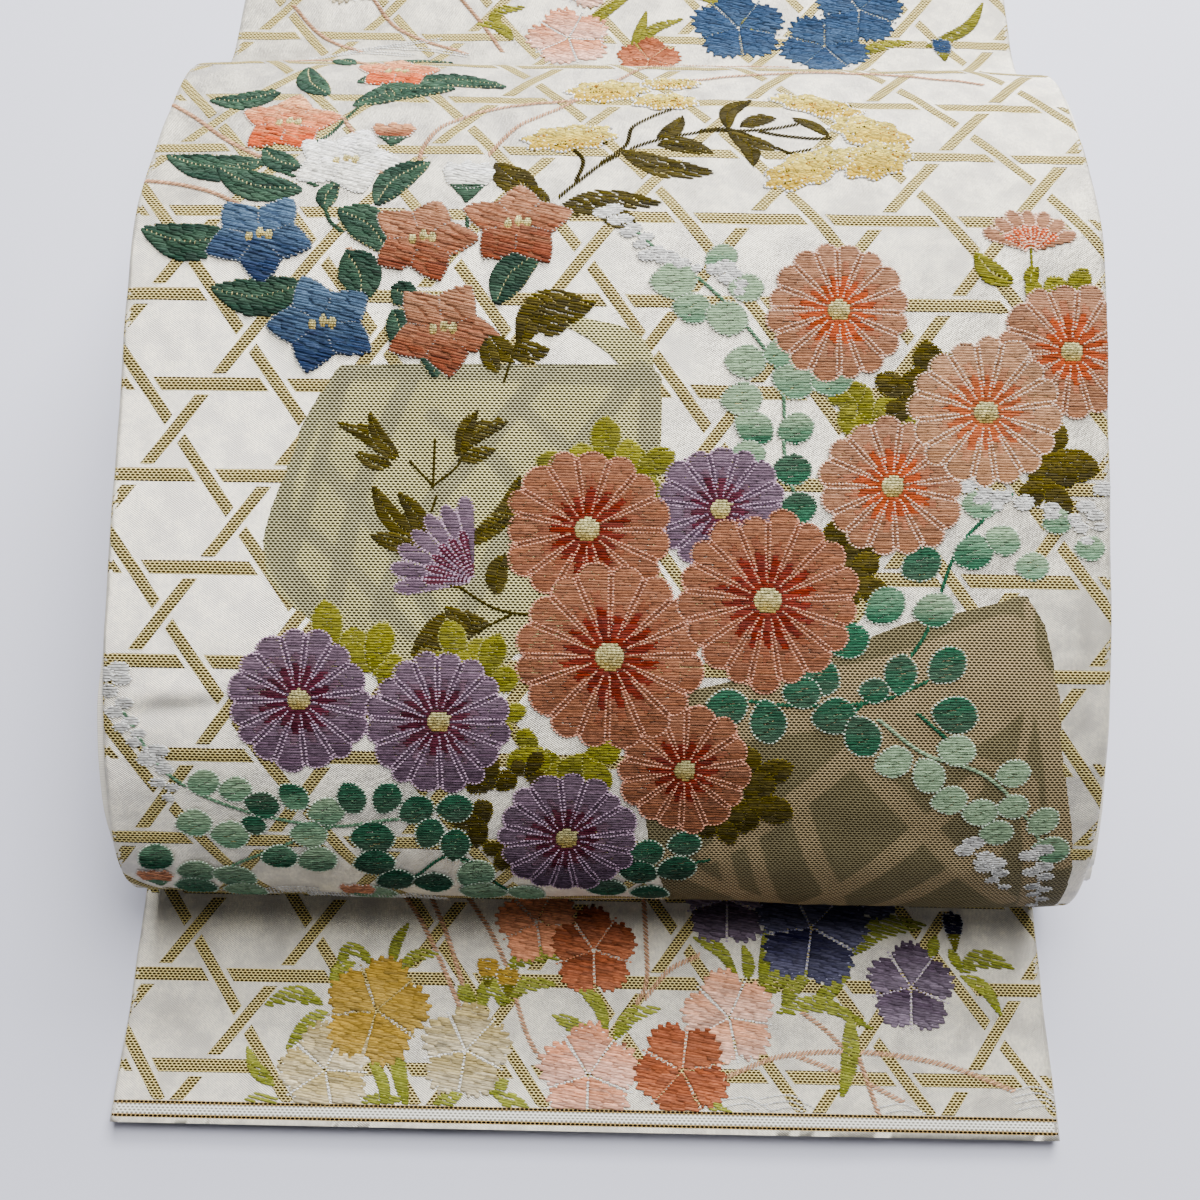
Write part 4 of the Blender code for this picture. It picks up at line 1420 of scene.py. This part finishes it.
def yellow_heads(chart):
    """Patrinia: olive stems and leaves, flat yellow heads."""
    for path in (
        ((-19, 1127), (-13, 1134), (-6, 1142), (7, 1152), (27, 1159), (47, 1161), (61, 1165)),
        ((-6, 1143), (2, 1152), (4, 1161), (10, 1167), (20, 1174)),
        ((27, 1160), (36, 1161), (46, 1156), (56, 1149)), ((56, 1149), (63, 1151)),
        ((-14, 1134), (-12, 1144), (-16, 1150)), ((47, 1160), (62, 1157), (70, 1157)),
    ):
        chart.twist(curve(*path), "leaf_threads", OLIVE_DEEP * 0.8, width=1.5)
    for base, tip, width, bend in (
        ((0, 1149), (31, 1139), 10, -0.1), ((12, 1152), (31, 1148), 8, 0.1),
        ((-22, 1119), (14, 1125), 9, 0.1), ((-6, 1121), (6, 1116), 8, 0.0),
        ((12, 1155), (21, 1168), 6, -0.1), ((36, 1161), (45, 1179), 6, 0.2),
        ((40, 1162), (53, 1168), 6, 0.1), ((36, 1160), (44, 1142), 7, 0.15),
        ((42, 1156), (52, 1151), 6, 0.0), ((58, 1168), (70, 1158), 5, 0.1),
        ((-26, 1130), (-41, 1142), 12, 0.1), ((-30, 1132), (-22, 1124), 5, 0.0),
    ):
        # Painted shade: these leaves near the crest are darker than the same olive elsewhere, to offset the
        # stronger light there.
        leaf(chart, base, tip, width, (OLIVE * 0.75, OLIVE_DEEP * 0.75), OLIVE, bend=bend)
    for u, s, width, height, lean in (
        (-5, 1184, 27, 14, 8), (15, 1177, 22, 10, 0), (-17, 1155, 30, 13, 10), (17, 1190, 20, 8, 0),
        (67, 1176, 31, 11, -20), (84, 1160, 28, 16, -28), (84, 1146, 24, 16, 20), (62, 1142, 32, 14, 30),
    ):
        patrinia(chart, u, s, width, height, lean)


def olive_leaves(chart):
    """Olive and lime leaves about the chrysanthemums, under them."""
    olive, lime = (OLIVE, OLIVE_DEEP), (LIME, LIME_DEEP)
    for base, tip, width, bend in (
        ((-30, 1074), (-10, 1091), 9, 0.25), ((-28, 1084), (-6, 1090), 7, -0.1),
        ((-25, 1080), (-14, 1083), 6, 0.0), ((-31, 1070), (-41, 1078), 8, 0.0),
        ((-33, 1072), (-20, 1074), 7, 0.0), ((-36, 1066), (-40, 1078), 6, 0.1),
        ((-67, 1038), (-86, 1049), 6, -0.1), ((-66, 1039), (-76, 1053), 5, 0.1),
        ((-68, 1037), (-80, 1040), 5, 0.1), ((-49, 1040), (-32, 1051), 5.5, 0.1),
        ((-47, 1039), (-42, 1054), 5, 0.1), ((-48, 1038), (-36, 1042), 4.5, 0.0),
        ((-57, 1012), (-74, 1030), 7, 0.1), ((-57, 1011), (-66, 1028), 6, -0.1),
        ((-58, 1010), (-74, 1014), 6, 0.0), ((-43, 1011), (-28, 1034), 6, -0.1),
        ((-43, 1011), (-28, 1022), 5, 0.1), ((-34, 996), (-32, 1009), 7, 0.1),
        ((-50, 998), (-42, 1003), 6, 0.1), ((-36, 988), (-60, 977), 10, -0.12),
        ((-42, 986), (-50, 992), 6, 0.0),
    ):
        leaf(chart, base, tip, width, olive, OLIVE, bend=bend)
    for path in (
        ((-55, 1030), (-48, 1036), (-45, 1042)), ((-56, 1031), (-62, 1037)), ((-55, 1030), (-55, 1044)),
        ((-48, 1000), (-34, 992), (-20, 990)), ((-30, 1078), (-34, 1064)), ((-57, 1016), (-54, 1026)),
        ((-30, 990), (-40, 985)),
    ):
        chart.cord(curve(*path), "leaf_threads", OLIVE_DEEP)
    for u, s, size, heading, tones in (
        (-2, 1036, 17, 90, lime), (-9, 1034, 14, 160, lime), (6, 1034, 15, 30, lime),
        (-84, 976, 17, 100, lime), (-72, 972, 16, 75, lime), (-68, 966, 13, 10, lime),
        (-44, 974, 15, 110, lime), (-38, 970, 15, 70, lime), (-34, 958, 10, 20, lime),
        (-13, 946, 14, 250, lime), (-6, 948, 15, 300, lime), (-20, 950, 11, 215, lime),
        (80, 1052, 14, 110, lime), (90, 1050, 13, 80, lime), (76, 1058, 10, 160, lime),
        (142, 1092, 13, 60, lime), (136, 1090, 11, 130, lime), (100, 1062, 17, 100, olive),
        (94, 1060, 14, 150, olive), (108, 1066, 13, 50, olive), (70, 1010, 16, 20, olive),
        (74, 1004, 14, 330, olive), (132, 1042, 18, 350, olive), (134, 1036, 14, 300, olive),
        (44, 940, 14, 20, olive), (44, 934, 16, 340, olive), (36, 928, 11, 300, olive),
        (-34, 936, 12, 100, olive), (-36, 924, 12, 170, olive), (-30, 916, 10, 260, olive),
        (-24, 940, 9, 60, olive),
    ):
        lobed_leaf(chart, (u, s), size, heading, tones, LIME_VEIN if tones is lime else OLIVE_VEIN)
    leaf(chart, (125, 1098), (113, 1108), 8, lime, LIME_VEIN)
    leaf(chart, (130, 1096), (133, 1104), 5, lime, LIME_VEIN)
    chart.cord([(131, 1112), (131, 1088)], "leaf_threads", LIME_DEEP)


def hagi(chart):
    """Bush clover: pairs of round leaflets fading from dark green to mint, and white buds."""
    for path, colour in (
        (((2, 1118), (14, 1106), (26, 1098), (40, 1084), (52, 1066), (54, 1040), (60, 1020)), MINT_DEEP),
        (((124, 1030), (108, 1014), (96, 984), (76, 962)), TEAL),
        (((98, 972), (84, 966), (60, 964), (36, 966)), TEAL),
        (((84, 960), (98, 950), (116, 944), (128, 934), (138, 920)), MINT), (((96, 962), (108, 952)), TEAL),
        (((-148, 958), (-134, 938), (-112, 927), (-84, 922), (-58, 924), (-42, 908)), MINT_DEEP),
        (((-128, 900), (-106, 912), (-84, 922)), MINT_DEEP), (((-60, 902), (-46, 912), (-30, 896)), TEAL),
        (((12, 902), (20, 908), (34, 912)), TEAL),
    ):
        chart.twist(curve(*path), "hagi_threads", colour, width=1.1)
    for u, s, angle, upper, lower, scale in (
        (33, 1105, 20, MINT, MINT_DEEP, 0.9), (18, 1097, 5, MINT, MINT, 1.25),
        (41, 1095, 0, MINT, MINT, 0.95), (24, 1088, -10, MINT, MINT_DEEP, 1.05),
        (35, 1085, -15, MINT, MINT, 1.15), (41, 1071, 0, MINT, MINT, 1.1),
        (52, 1074, 10, MINT, MINT_DEEP, 0.95), (56, 1065, -20, MINT, MINT_DEEP, 1.15),
        (40, 1059, 5, MINT, MINT, 1.1), (68, 1066, 20, MINT, MINT_DEEP, 1.15),
        (44, 1050, -30, MINT, TEAL, 1.1), (57, 1050, 20, MINT, TEAL, 1.0),
        (42, 1041, 15, MINT, MINT_DEEP, 1.0), (56, 1037, 0, GREEN, TEAL, 1.05),
        (58, 1025, 10, GREEN, TEAL, 1.0), (85, 995, 35, MINT_DEEP, TEAL, 1.15),
        (74, 984, 20, TEAL, TEAL, 1.1), (65, 973, -25, TEAL, GREEN, 1.15), (37, 963, 15, TEAL, GREEN, 1.15),
        (50, 959, -75, TEAL, GREEN, 1.15), (60, 968, 0, TEAL, GREEN, 1.0), (70, 961, 10, TEAL, GREEN, 1.15),
        (79, 955, -60, GREEN, TEAL, 1.15), (90, 974, 85, GREEN, TEAL, 1.05),
        (104, 977, 40, TEAL, GREEN, 1.1), (82, 969, 0, GREEN, TEAL, 0.8), (107, 962, -10, TEAL, GREEN, 1.2),
        (100, 994, 10, MINT, TEAL, 1.1), (112, 1012, 20, MINT_DEEP, TEAL, 1.1),
        (96, 1008, 30, TEAL, GREEN, 1.1), (108, 951, -10, MINT, MINT, 1.0), (89, 947, 20, MINT, MINT, 1.0),
        (100, 943, -60, MINT, MINT, 1.0), (107, 935, 10, MINT, MINT, 0.95), (117, 931, 0, MINT, MINT, 0.95),
        (126, 944, 10, MINT, MINT, 0.9), (127, 933, 5, MINT, MINT, 0.85), (123, 924, 0, MINT, MINT, 0.9),
        (137, 928, 40, MINT, MINT, 0.9), (141, 918, -10, MINT, MINT_DEEP, 1.0),
        (114, 1027, 0, MINT, MINT_DEEP, 0.95), (121, 1016, -20, MINT, MINT_DEEP, 0.95),
        (130, 1008, 0, MINT, MINT_DEEP, 0.9), (138, 1022, 10, MINT, MINT_DEEP, 0.8),
        (148, 1014, 0, MINT, MINT_DEEP, 0.8), (-124, 936, 20, MINT, MINT_DEEP, 0.9),
        (-114, 934, 10, MINT, MINT_DEEP, 0.9), (-106, 929, -15, GREEN_PALE, TEAL, 0.95),
        (-128, 922, 10, MINT, MINT_DEEP, 1.0), (-117, 918, 0, MINT, MINT_DEEP, 1.05),
        (-109, 922, -20, TEAL, GREEN, 0.7), (-96, 932, -40, TEAL, MINT_DEEP, 0.9),
        (-86, 927, 10, MINT, MINT_DEEP, 1.0), (-92, 919, 0, MINT_DEEP, MINT, 1.0),
        (-78, 932, -70, TEAL, GREEN, 0.95), (-67, 932, 60, TEAL, GREEN, 0.95),
        (-58, 928, 30, TEAL, GREEN, 1.0), (-46, 929, 10, TEAL, GREEN, 1.0), (-72, 918, 0, TEAL, GREEN, 1.2),
        (-54, 920, 60, TEAL, GREEN, 0.95), (-46, 916, 80, TEAL, GREEN, 1.0),
        (-102, 910, 10, MINT_DEEP, TEAL, 1.0), (-90, 909, 15, MINT, MINT_DEEP, 1.1),
        (-72, 908, 10, TEAL, GREEN, 1.15), (-66, 900, 20, TEAL, GREEN, 1.1),
        (-54, 899, 0, GREEN, TEAL, 1.1), (-40, 904, 50, MINT, MINT_DEEP, 1.2),
        (-38, 894, -10, MINT, MINT_DEEP, 1.3), (-24, 893, -30, MINT, MINT_DEEP, 1.1),
        (-142, 908, 40, MINT_DEEP, TEAL, 1.1), (-130, 902, 10, MINT, MINT_DEEP, 1.1),
        (-118, 900, -15, MINT, MINT_DEEP, 1.2), (-132, 893, 0, MINT_DEEP, TEAL, 1.2),
        (-116, 891, -10, MINT, MINT_DEEP, 1.2), (-74, 890, 0, MINT, MINT_DEEP, 1.3),
        (14, 914, 20, TEAL, GREEN, 1.0), (12, 906, -15, TEAL, GREEN, 1.1), (26, 918, 10, TEAL, GREEN, 0.9),
        (24, 908, 20, TEAL, GREEN, 1.1), (2, 897, 0, GREEN_PALE, TEAL, 1.1),
        (16, 894, -10, TEAL, GREEN, 1.1),
    ):
        oval_leaf(chart, u, s, angle, upper, lower, 12.0 * scale, 9.6 * scale)
    for path, count in (
        (((-4, 1122), (6, 1112), (16, 1104)), 11), (((10, 1106), (24, 1102)), 7),
        (((32, 1102), (40, 1094)), 6), (((-152, 972), (-148, 956), (-138, 942)), 13),
        (((-140, 946), (-134, 930)), 6), (((114, 920), (124, 910)), 5),
        (((136, 918), (140, 904), (143, 890)), 10), (((122, 914), (128, 902)), 5),
        (((118, 1030), (134, 1026), (150, 1020)), 9), (((110, 1034), (118, 1026)), 5),
        (((150, 1032), (146, 1016)), 5),
    ):
        spray(chart, curve(*path), count, WHITE)


def chrysanthemums(chart):
    """The full flowers, each later one over the earlier."""
    side_chrysanthemum(chart, 131, 1108, 17, (18, 162), 7, PEACH)
    side_chrysanthemum(chart, -41, 1000, 26, (92, 192), 7, MAUVE)
    for u, s, radius, tint, petals, turn in (
        (143, 1076, 22, PEACH, 14, 0.1), (-94, 963, 22, MAUVE, 15, 0.2), (-51, 957, 22, MAUVE, 16, 0.0),
        (34, 1024, 20, MAUVE, 15, 0.1), (-11, 919, 22, MAUVE, 16, 0.15), (87, 1032, 22, PEACH, 15, 0.2),
        (70, 1088, 22.5, PEACH, 16, 0.0), (-7, 1017, 25, CORAL, 15, 0.05), (116, 1056, 24, BLUSH, 16, 0.15),
        (25, 943, 20.5, CORAL, 14, 0.2), (1, 978, 28.5, CORAL, 16, 0.0), (49, 996, 27.5, CORAL, 17, 0.1),
    ):
        chrysanthemum(chart, u, s, radius, tint, petals, turn)


def top_run_pinks(chart):
    """Pinks of the top run."""
    lime = (LIME, LIME_DEEP)
    for points, width in (
        (((-46, 1263), (-52, 1276), (-40, 1281)), 5), (((-44, 1262), (-50, 1270), (-60, 1271)), 5),
        (((-18, 1268), (-6, 1281), (4, 1290)), 5), (((4, 1254), (6, 1266), (9, 1280)), 5),
        (((2, 1256), (12, 1270), (24, 1276)), 5), (((90, 1256), (104, 1263), (116, 1266)), 5),
        (((52, 1270), (40, 1284), (24, 1290)), 5), (((120, 1262), (138, 1274), (146, 1288)), 5),
        (((-60, 1292), (-74, 1300), (-86, 1298)), 5),
    ):
        blade(chart, points, width, lime)
    for u, s, radius, colour, pale, turn in (
        (-22, 1264, 17, SALMON, WHITE, 0.6), (10, 1252, 13, RUST, SALMON, 0.2),
        (-16, 1296, 15, PINK, WHITE, 1.1), (46, 1272, 19, DENIM, SKY, 0.4),
        (80, 1262, 18, DENIM * 0.85, SKY, 0.9), (95, 1282, 18, DENIM, SKY, 0.2),
        (-112, 1296, 15, CREAM, WHITE, 0.5),
    ):
        dianthus(chart, u, s, radius, colour, pale, turn)
    bud(chart, 127, 1262, 8, 12, DENIM, DENIM * 0.8, LIME_DEEP, "dianthus_threads")
    for path in (
        ((-124, 1247), (-104, 1253), (-84, 1252)), ((-98, 1257), (-80, 1256), (-62, 1252)),
        ((-112, 1252), (-92, 1258), (-74, 1262)),
    ):
        chart.chain(curve(*path), "white_buds", SILVER, pitch=1.1)
        chart.chain(curve(*path) + (1.0, 1.4), "white_buds", SILVER, pitch=1.2)


def tail_pinks(chart):
    """Pinks, narrow leaves and grass of the tail."""
    lime = (srgb(140, 144, 52), srgb(108, 114, 30))
    for path in (
        ((-64, 74), (-58, 66), (-50, 52), (-43, 38)), ((-56, 76), (-49, 62), (-43, 47), (-39, 36)),
        ((-42, 74), (-34, 63), (-27, 50), (-23, 38), (-19, 28), (-13, 19)),
        ((19, 76), (20, 60), (20, 46), (15, 37)), ((38, 56), (28, 51), (20, 42)),
        ((46, 17), (61, 23), (71, 25), (88, 26), (104, 25), (121, 22), (141, 15)), ((71, 24), (86, 19)),
        ((91, 24), (94, 14), (97, 4)), ((94, 16), (104, 11)), ((73, 38), (80, 33), (87, 26)),
    ):
        chart.twist(curve(*path), "stem_threads", STEM_PINK)
    for points, width in (
        (((-86, 50), (-81, 56), (-72, 50)), 4.5), (((-67, 50), (-66, 58), (-62, 65)), 4),
        (((-65, 48), (-59, 54), (-51, 55)), 4), (((-86, 42), (-85, 49), (-79, 52)), 4.5),
        (((-89, 38), (-99, 41), (-109, 37)), 5.5), (((-87, 36), (-94, 31), (-100, 23)), 5),
        (((-102, 12), (-109, 17), (-113, 24)), 5), (((-36, 36), (-33, 45), (-29, 38)), 5),
        (((-30, 38), (-22, 45), (-10, 46)), 5), (((-28, 50), (-20, 55), (-8, 55)), 5.5),
        (((-12, 36), (-3, 32), (6, 27)), 5), (((-4, 46), (4, 39), (7, 28)), 5),
        (((9, 28), (15, 36), (25, 39)), 5), (((36, 62), (45, 58), (51, 49)), 5),
        (((54, 48), (55, 54), (53, 60)), 4.5), (((59, 46), (61, 56), (61, 66)), 4.5),
        (((59, 43), (65, 49), (74, 53)), 6), (((66, 39), (70, 46), (78, 53)), 5),
        (((76, 40), (84, 47), (90, 54)), 5), (((90, 57), (100, 66), (117, 68)), 7),
        (((64, 38), (79, 41), (97, 33)), 5), (((89, 38), (88, 25), (84, 11)), 6),
        (((127, 52), (135, 57), (146, 54)), 6), (((127, 51), (135, 47), (140, 38)), 5),
        (((27, 4), (30, 10)), 5), (((40, 9), (46, 6), (53, 3)), 4.5), (((-32, 11), (-25, 15)), 5),
        (((-30, 10), (-22, 8), (-16, 3)), 5), (((-50, 6), (-40, 11)), 4.5),
        (((-64, 26), (-61, 15), (-58, 5)), 5.5), (((-74, 7), (-60, 9)), 4.5), (((-112, 7), (-100, 8)), 4),
        (((-72, 22), (-66, 12), (-66, 4)), 4.5), (((124, 60), (128, 52)), 4), (((120, 64), (117, 56)), 4),
        (((-44, 44), (-38, 40)), 6),
    ):
        blade(chart, points, width, lime)
    for u, s, radius, colour, pale, turn in (
        (-18, 66, 14, SALMON * 0.95, PINK, 0.5), (48, 75, 16, GREY_MAUVE, srgb(190, 172, 192), 0.3),
        (-96, 96, 15, SALMON, WHITE, 0.7), (2, 57, 15, RUST, SALMON, 0.35),
        (100, 84, 15, NAVY, NAVY_PALE, 1.0), (77, 66, 20, NAVY, NAVY_PALE, 0.15),
        (110, 47, 15, GREY_MAUVE, GREY_MAUVE_PALE, 0.25), (-86, 17, 15.5, CREAM, WHITE, 0.6),
        (-40, 24, 15.5, CREAM * 0.93, WHITE, 0.2), (-71, 36, 18, OCHRE, CREAM, 0.1),
        (48, 36, 16, PINK, WHITE, 0.5), (1, 17, 17, SALMON, WHITE, 0.3),
        (32, 19, 16, RUST * 1.05, SALMON, 0.8),
    ):
        dianthus(chart, u, s, radius, colour, pale, turn)
    for u, s in ((-34, 50), (-27, 47)):
        bud(chart, u, s, 8, 9, OCHRE, OCHRE * 0.9, LIME_DEEP, "dianthus_threads")
    bud(chart, 126, 67, 7, 12, NAVY, NAVY, LIME_DEEP, "dianthus_threads")
    for points, lines in (((44, 10), 5), ((58, 11), 5), ((140, 15), 4), ((96, 9), 3)):
        for k in range(lines):
            start = np.array(points) + (0.8 * k, -1.9 * k)
            path = curve(start, start + (9, 1.2), start + (17 - k, -2.5))
            if start[1] > 3 and path[-1][1] > 3:
                chart.chain(path, "white_buds", SILVER, pitch=1.15)


def silver_foot(chart):
    """Silver plumes under the roll."""
    for u, s, lean in ((-101, 893, 0.1), (-88, 889, 0.05), (-74, 888, -0.05), (-60, 889, -0.1)):
        for k in range(4):
            path = curve((u - 8, s - 1.5 * k), (u, s + 2 - 1.5 * k), (u + 9, s - 1.5 * k + lean * 10))
            chart.chain(path, "white_buds", SILVER, pitch=1.2)
    bud(chart, -79, 893, 12, 9, PINK, SALMON, MINT_DEEP, "dianthus_threads")
    bud(chart, -144, 898, 12, 9, PINK, SALMON, MINT_DEEP, "dianthus_threads")


def weave_motifs(chart, prefix):
    """The chart's threads as joined meshes."""
    pieces = []
    shapes = {"long": LONG_FLOAT, "short": SHORT_STITCH}
    for (piece, kind), threads in chart.threads().items():
        material = GLINT if piece == "gilt_stitches" else SILK
        suffix = "" if kind == "long" else "_stitches"
        side = SIDE_PAINTED_SHADE.get(piece, OTHER_SIDE_PAINTED_SHADE)
        item = thread_mesh(prefix + piece + suffix, chart.stretch, threads, shapes[kind], material, side)
        pieces.append(item)
    return pieces


cover_chart = Chart(COVER, low=866.0, high=1318.0, seed=5)
grass_stems(cover_chart)
yellow_heads(cover_chart)
bellflowers(cover_chart)
olive_leaves(cover_chart)
hagi(cover_chart)
chrysanthemums(cover_chart)
top_run_pinks(cover_chart)
silver_foot(cover_chart)
tail_chart = Chart(TAIL, low=7.4, high=116.0, seed=6)
tail_pinks(tail_chart)
motifs = weave_motifs(cover_chart, "drum_") + weave_motifs(tail_chart, "tail_")
for piece in motifs:
    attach(piece, "root")


# ---------------------------------------------------------------- the obi

# Where the drum's back cloth stands out beyond the front one: side, middle s, half length, distance.
BACK_BULGES = ((-1, 944, 30, 2.4), (1, 1178, 16, 1.5))
BULGE_START, BULGE_RUN = 132, 22    # u where a bulge starts, and u to its full distance


def edge_bulge(u, s):
    """How far the drum's back cloth is moved in u."""
    return sum(
        side * out * np.exp(-(((s - middle) / half) ** 4)) * smoothstep((side * u - BULGE_START) / BULGE_RUN)
        for side, middle, half, out in BACK_BULGES
    )


def stations(start, end, step):
    """Distances from start to end, about step apart."""
    return np.linspace(start, end, max(2, round((end - start) / step)) + 1)


SLOPE_FOOT = 1244.7             # s where the drum's cloth becomes the top run's
COVER_END = COVER.s[-1]
TAIL_END = TAIL.s[-1]
UNDER = CLOTH + GAP             # depth of the back cloth's upper face
HIDDEN_STEP = 12.0              # between the columns of the hidden cloths

cloths = [
    cloth_shell("tail_front", TAIL, stations(0.0, TAIL_END, 2.5), 2.5, 0.0, SATIN),
    cloth_shell("tail_back", TAIL, stations(0.6, TAIL_END, 4.0), 6.0, UNDER, BACK),
    cloth_shell("drum_front", COVER, stations(COVER_START, SLOPE_FOOT, 2.0), 2.0, 0.0, SATIN),
    cloth_shell("drum_back", COVER, stations(COVER_START, SLOPE_FOOT, 3.0), 4.0, UNDER, BACK, edge_bulge),
    cloth_shell("top_run_front", COVER, stations(SLOPE_FOOT, COVER_END, 2.0), 2.0, 0.0, SATIN),
    cloth_shell("top_run_back", COVER, stations(SLOPE_FOOT, COVER_END, 3.0), 4.0, UNDER, BACK),
]
hidden = [
    cloth_shell("folded_front", HEAP, HEAP.s[::3], HIDDEN_STEP, 0.0, SATIN),
    cloth_shell("folded_back", HEAP, HEAP.s[::3], HIDDEN_STEP, UNDER, BACK),
    cloth_shell("return_front", RETURN, RETURN.s[::2], HIDDEN_STEP, 0.0, SATIN),
    cloth_shell("return_back", RETURN, RETURN.s[::2], HIDDEN_STEP, UNDER, BACK),
]
for piece in hidden:
    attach(piece, "root")
    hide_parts("folded_layers")
for piece in cloths:
    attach(piece, "root")
    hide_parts(piece.name + "_cloth")

gilt = [
    lattice("tail_lattice", TAIL, 7.0, 150.0),
    lattice("drum_lattice", COVER, COVER_START + 14, COVER_END - 2),
    *fold_lattices(),
    gilt_ground("gold_ground_left", COVER, LEFT_GROUND),
    gilt_ground("gold_ground_right", COVER, RIGHT_GROUND),
    band("end_band", TAIL, 2.0, 6.2, 0.05, BAND),
    band("end_line_outer", TAIL, 1.6, 2.8, 0.12, BAND_LINE),
    band("end_line_inner", TAIL, 5.6, 6.8, 0.12, BAND_LINE),
]
for piece in gilt:
    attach(piece, "root")


# ---------------------------------------------------------------- floor, camera and light

FLOOR_SIZE = 6.0
FLOOR_DEPTH = 0.0002
CAMERA_PLACE = (0.0, -0.2009, 0.4316)
CAMERA_TILT = 0.3505
CAMERA_TURN = 0.0190
SENSOR_WIDTH = 36.0
LENS = 36.09
AMBIENT_COLOUR = (0.9, 0.93, 1.0, 1.0)
AMBIENT_STRENGTH = 0.10
LIGHT_TARGET = Vector((0.0, 0.0, 0.05))
LIGHTS = (
    # name, place, size, power in watts
    ("window", (0.3, 1.36, 1.02), (1.4, 0.7), 76.0),
    ("skylight", (0.3, 0.66, 1.57), (1.3, 1.0), 61.0),
)

bpy.ops.mesh.primitive_plane_add(size=FLOOR_SIZE, location=(0, 0, -FLOOR_DEPTH))
floor = bpy.context.object
floor.name = "floor"
table = Graph("pale_table", 0.75)
table.colour(srgb(200, 201, 215))
floor.data.materials.append(table.material)

camera_data = bpy.data.cameras.new("camera")
camera_data.sensor_width = SENSOR_WIDTH
camera_data.lens = LENS
camera = bpy.data.objects.new("camera", camera_data)
bpy.context.scene.collection.objects.link(camera)
turn = Matrix.Rotation(CAMERA_TURN, 4, "Z") @ Matrix.Rotation(CAMERA_TILT, 4, "X")
camera.matrix_world = Matrix.Translation(CAMERA_PLACE) @ turn
bpy.context.scene.camera = camera

world = bpy.data.worlds.new("studio")
bpy.context.scene.world = world
world.use_nodes = True
background = world.node_tree.nodes["Background"]
background.inputs["Color"].default_value = AMBIENT_COLOUR
background.inputs["Strength"].default_value = AMBIENT_STRENGTH

for name, place, size, power in LIGHTS:
    data = bpy.data.lights.new(name, "AREA")
    data.shape = "RECTANGLE"
    data.size = size[0]
    data.size_y = size[1]
    data.energy = power
    light = bpy.data.objects.new(name, data)
    bpy.context.scene.collection.objects.link(light)
    light.rotation_euler = (LIGHT_TARGET - Vector(place)).to_track_quat("-Z", "Y").to_euler()
    light.location = place
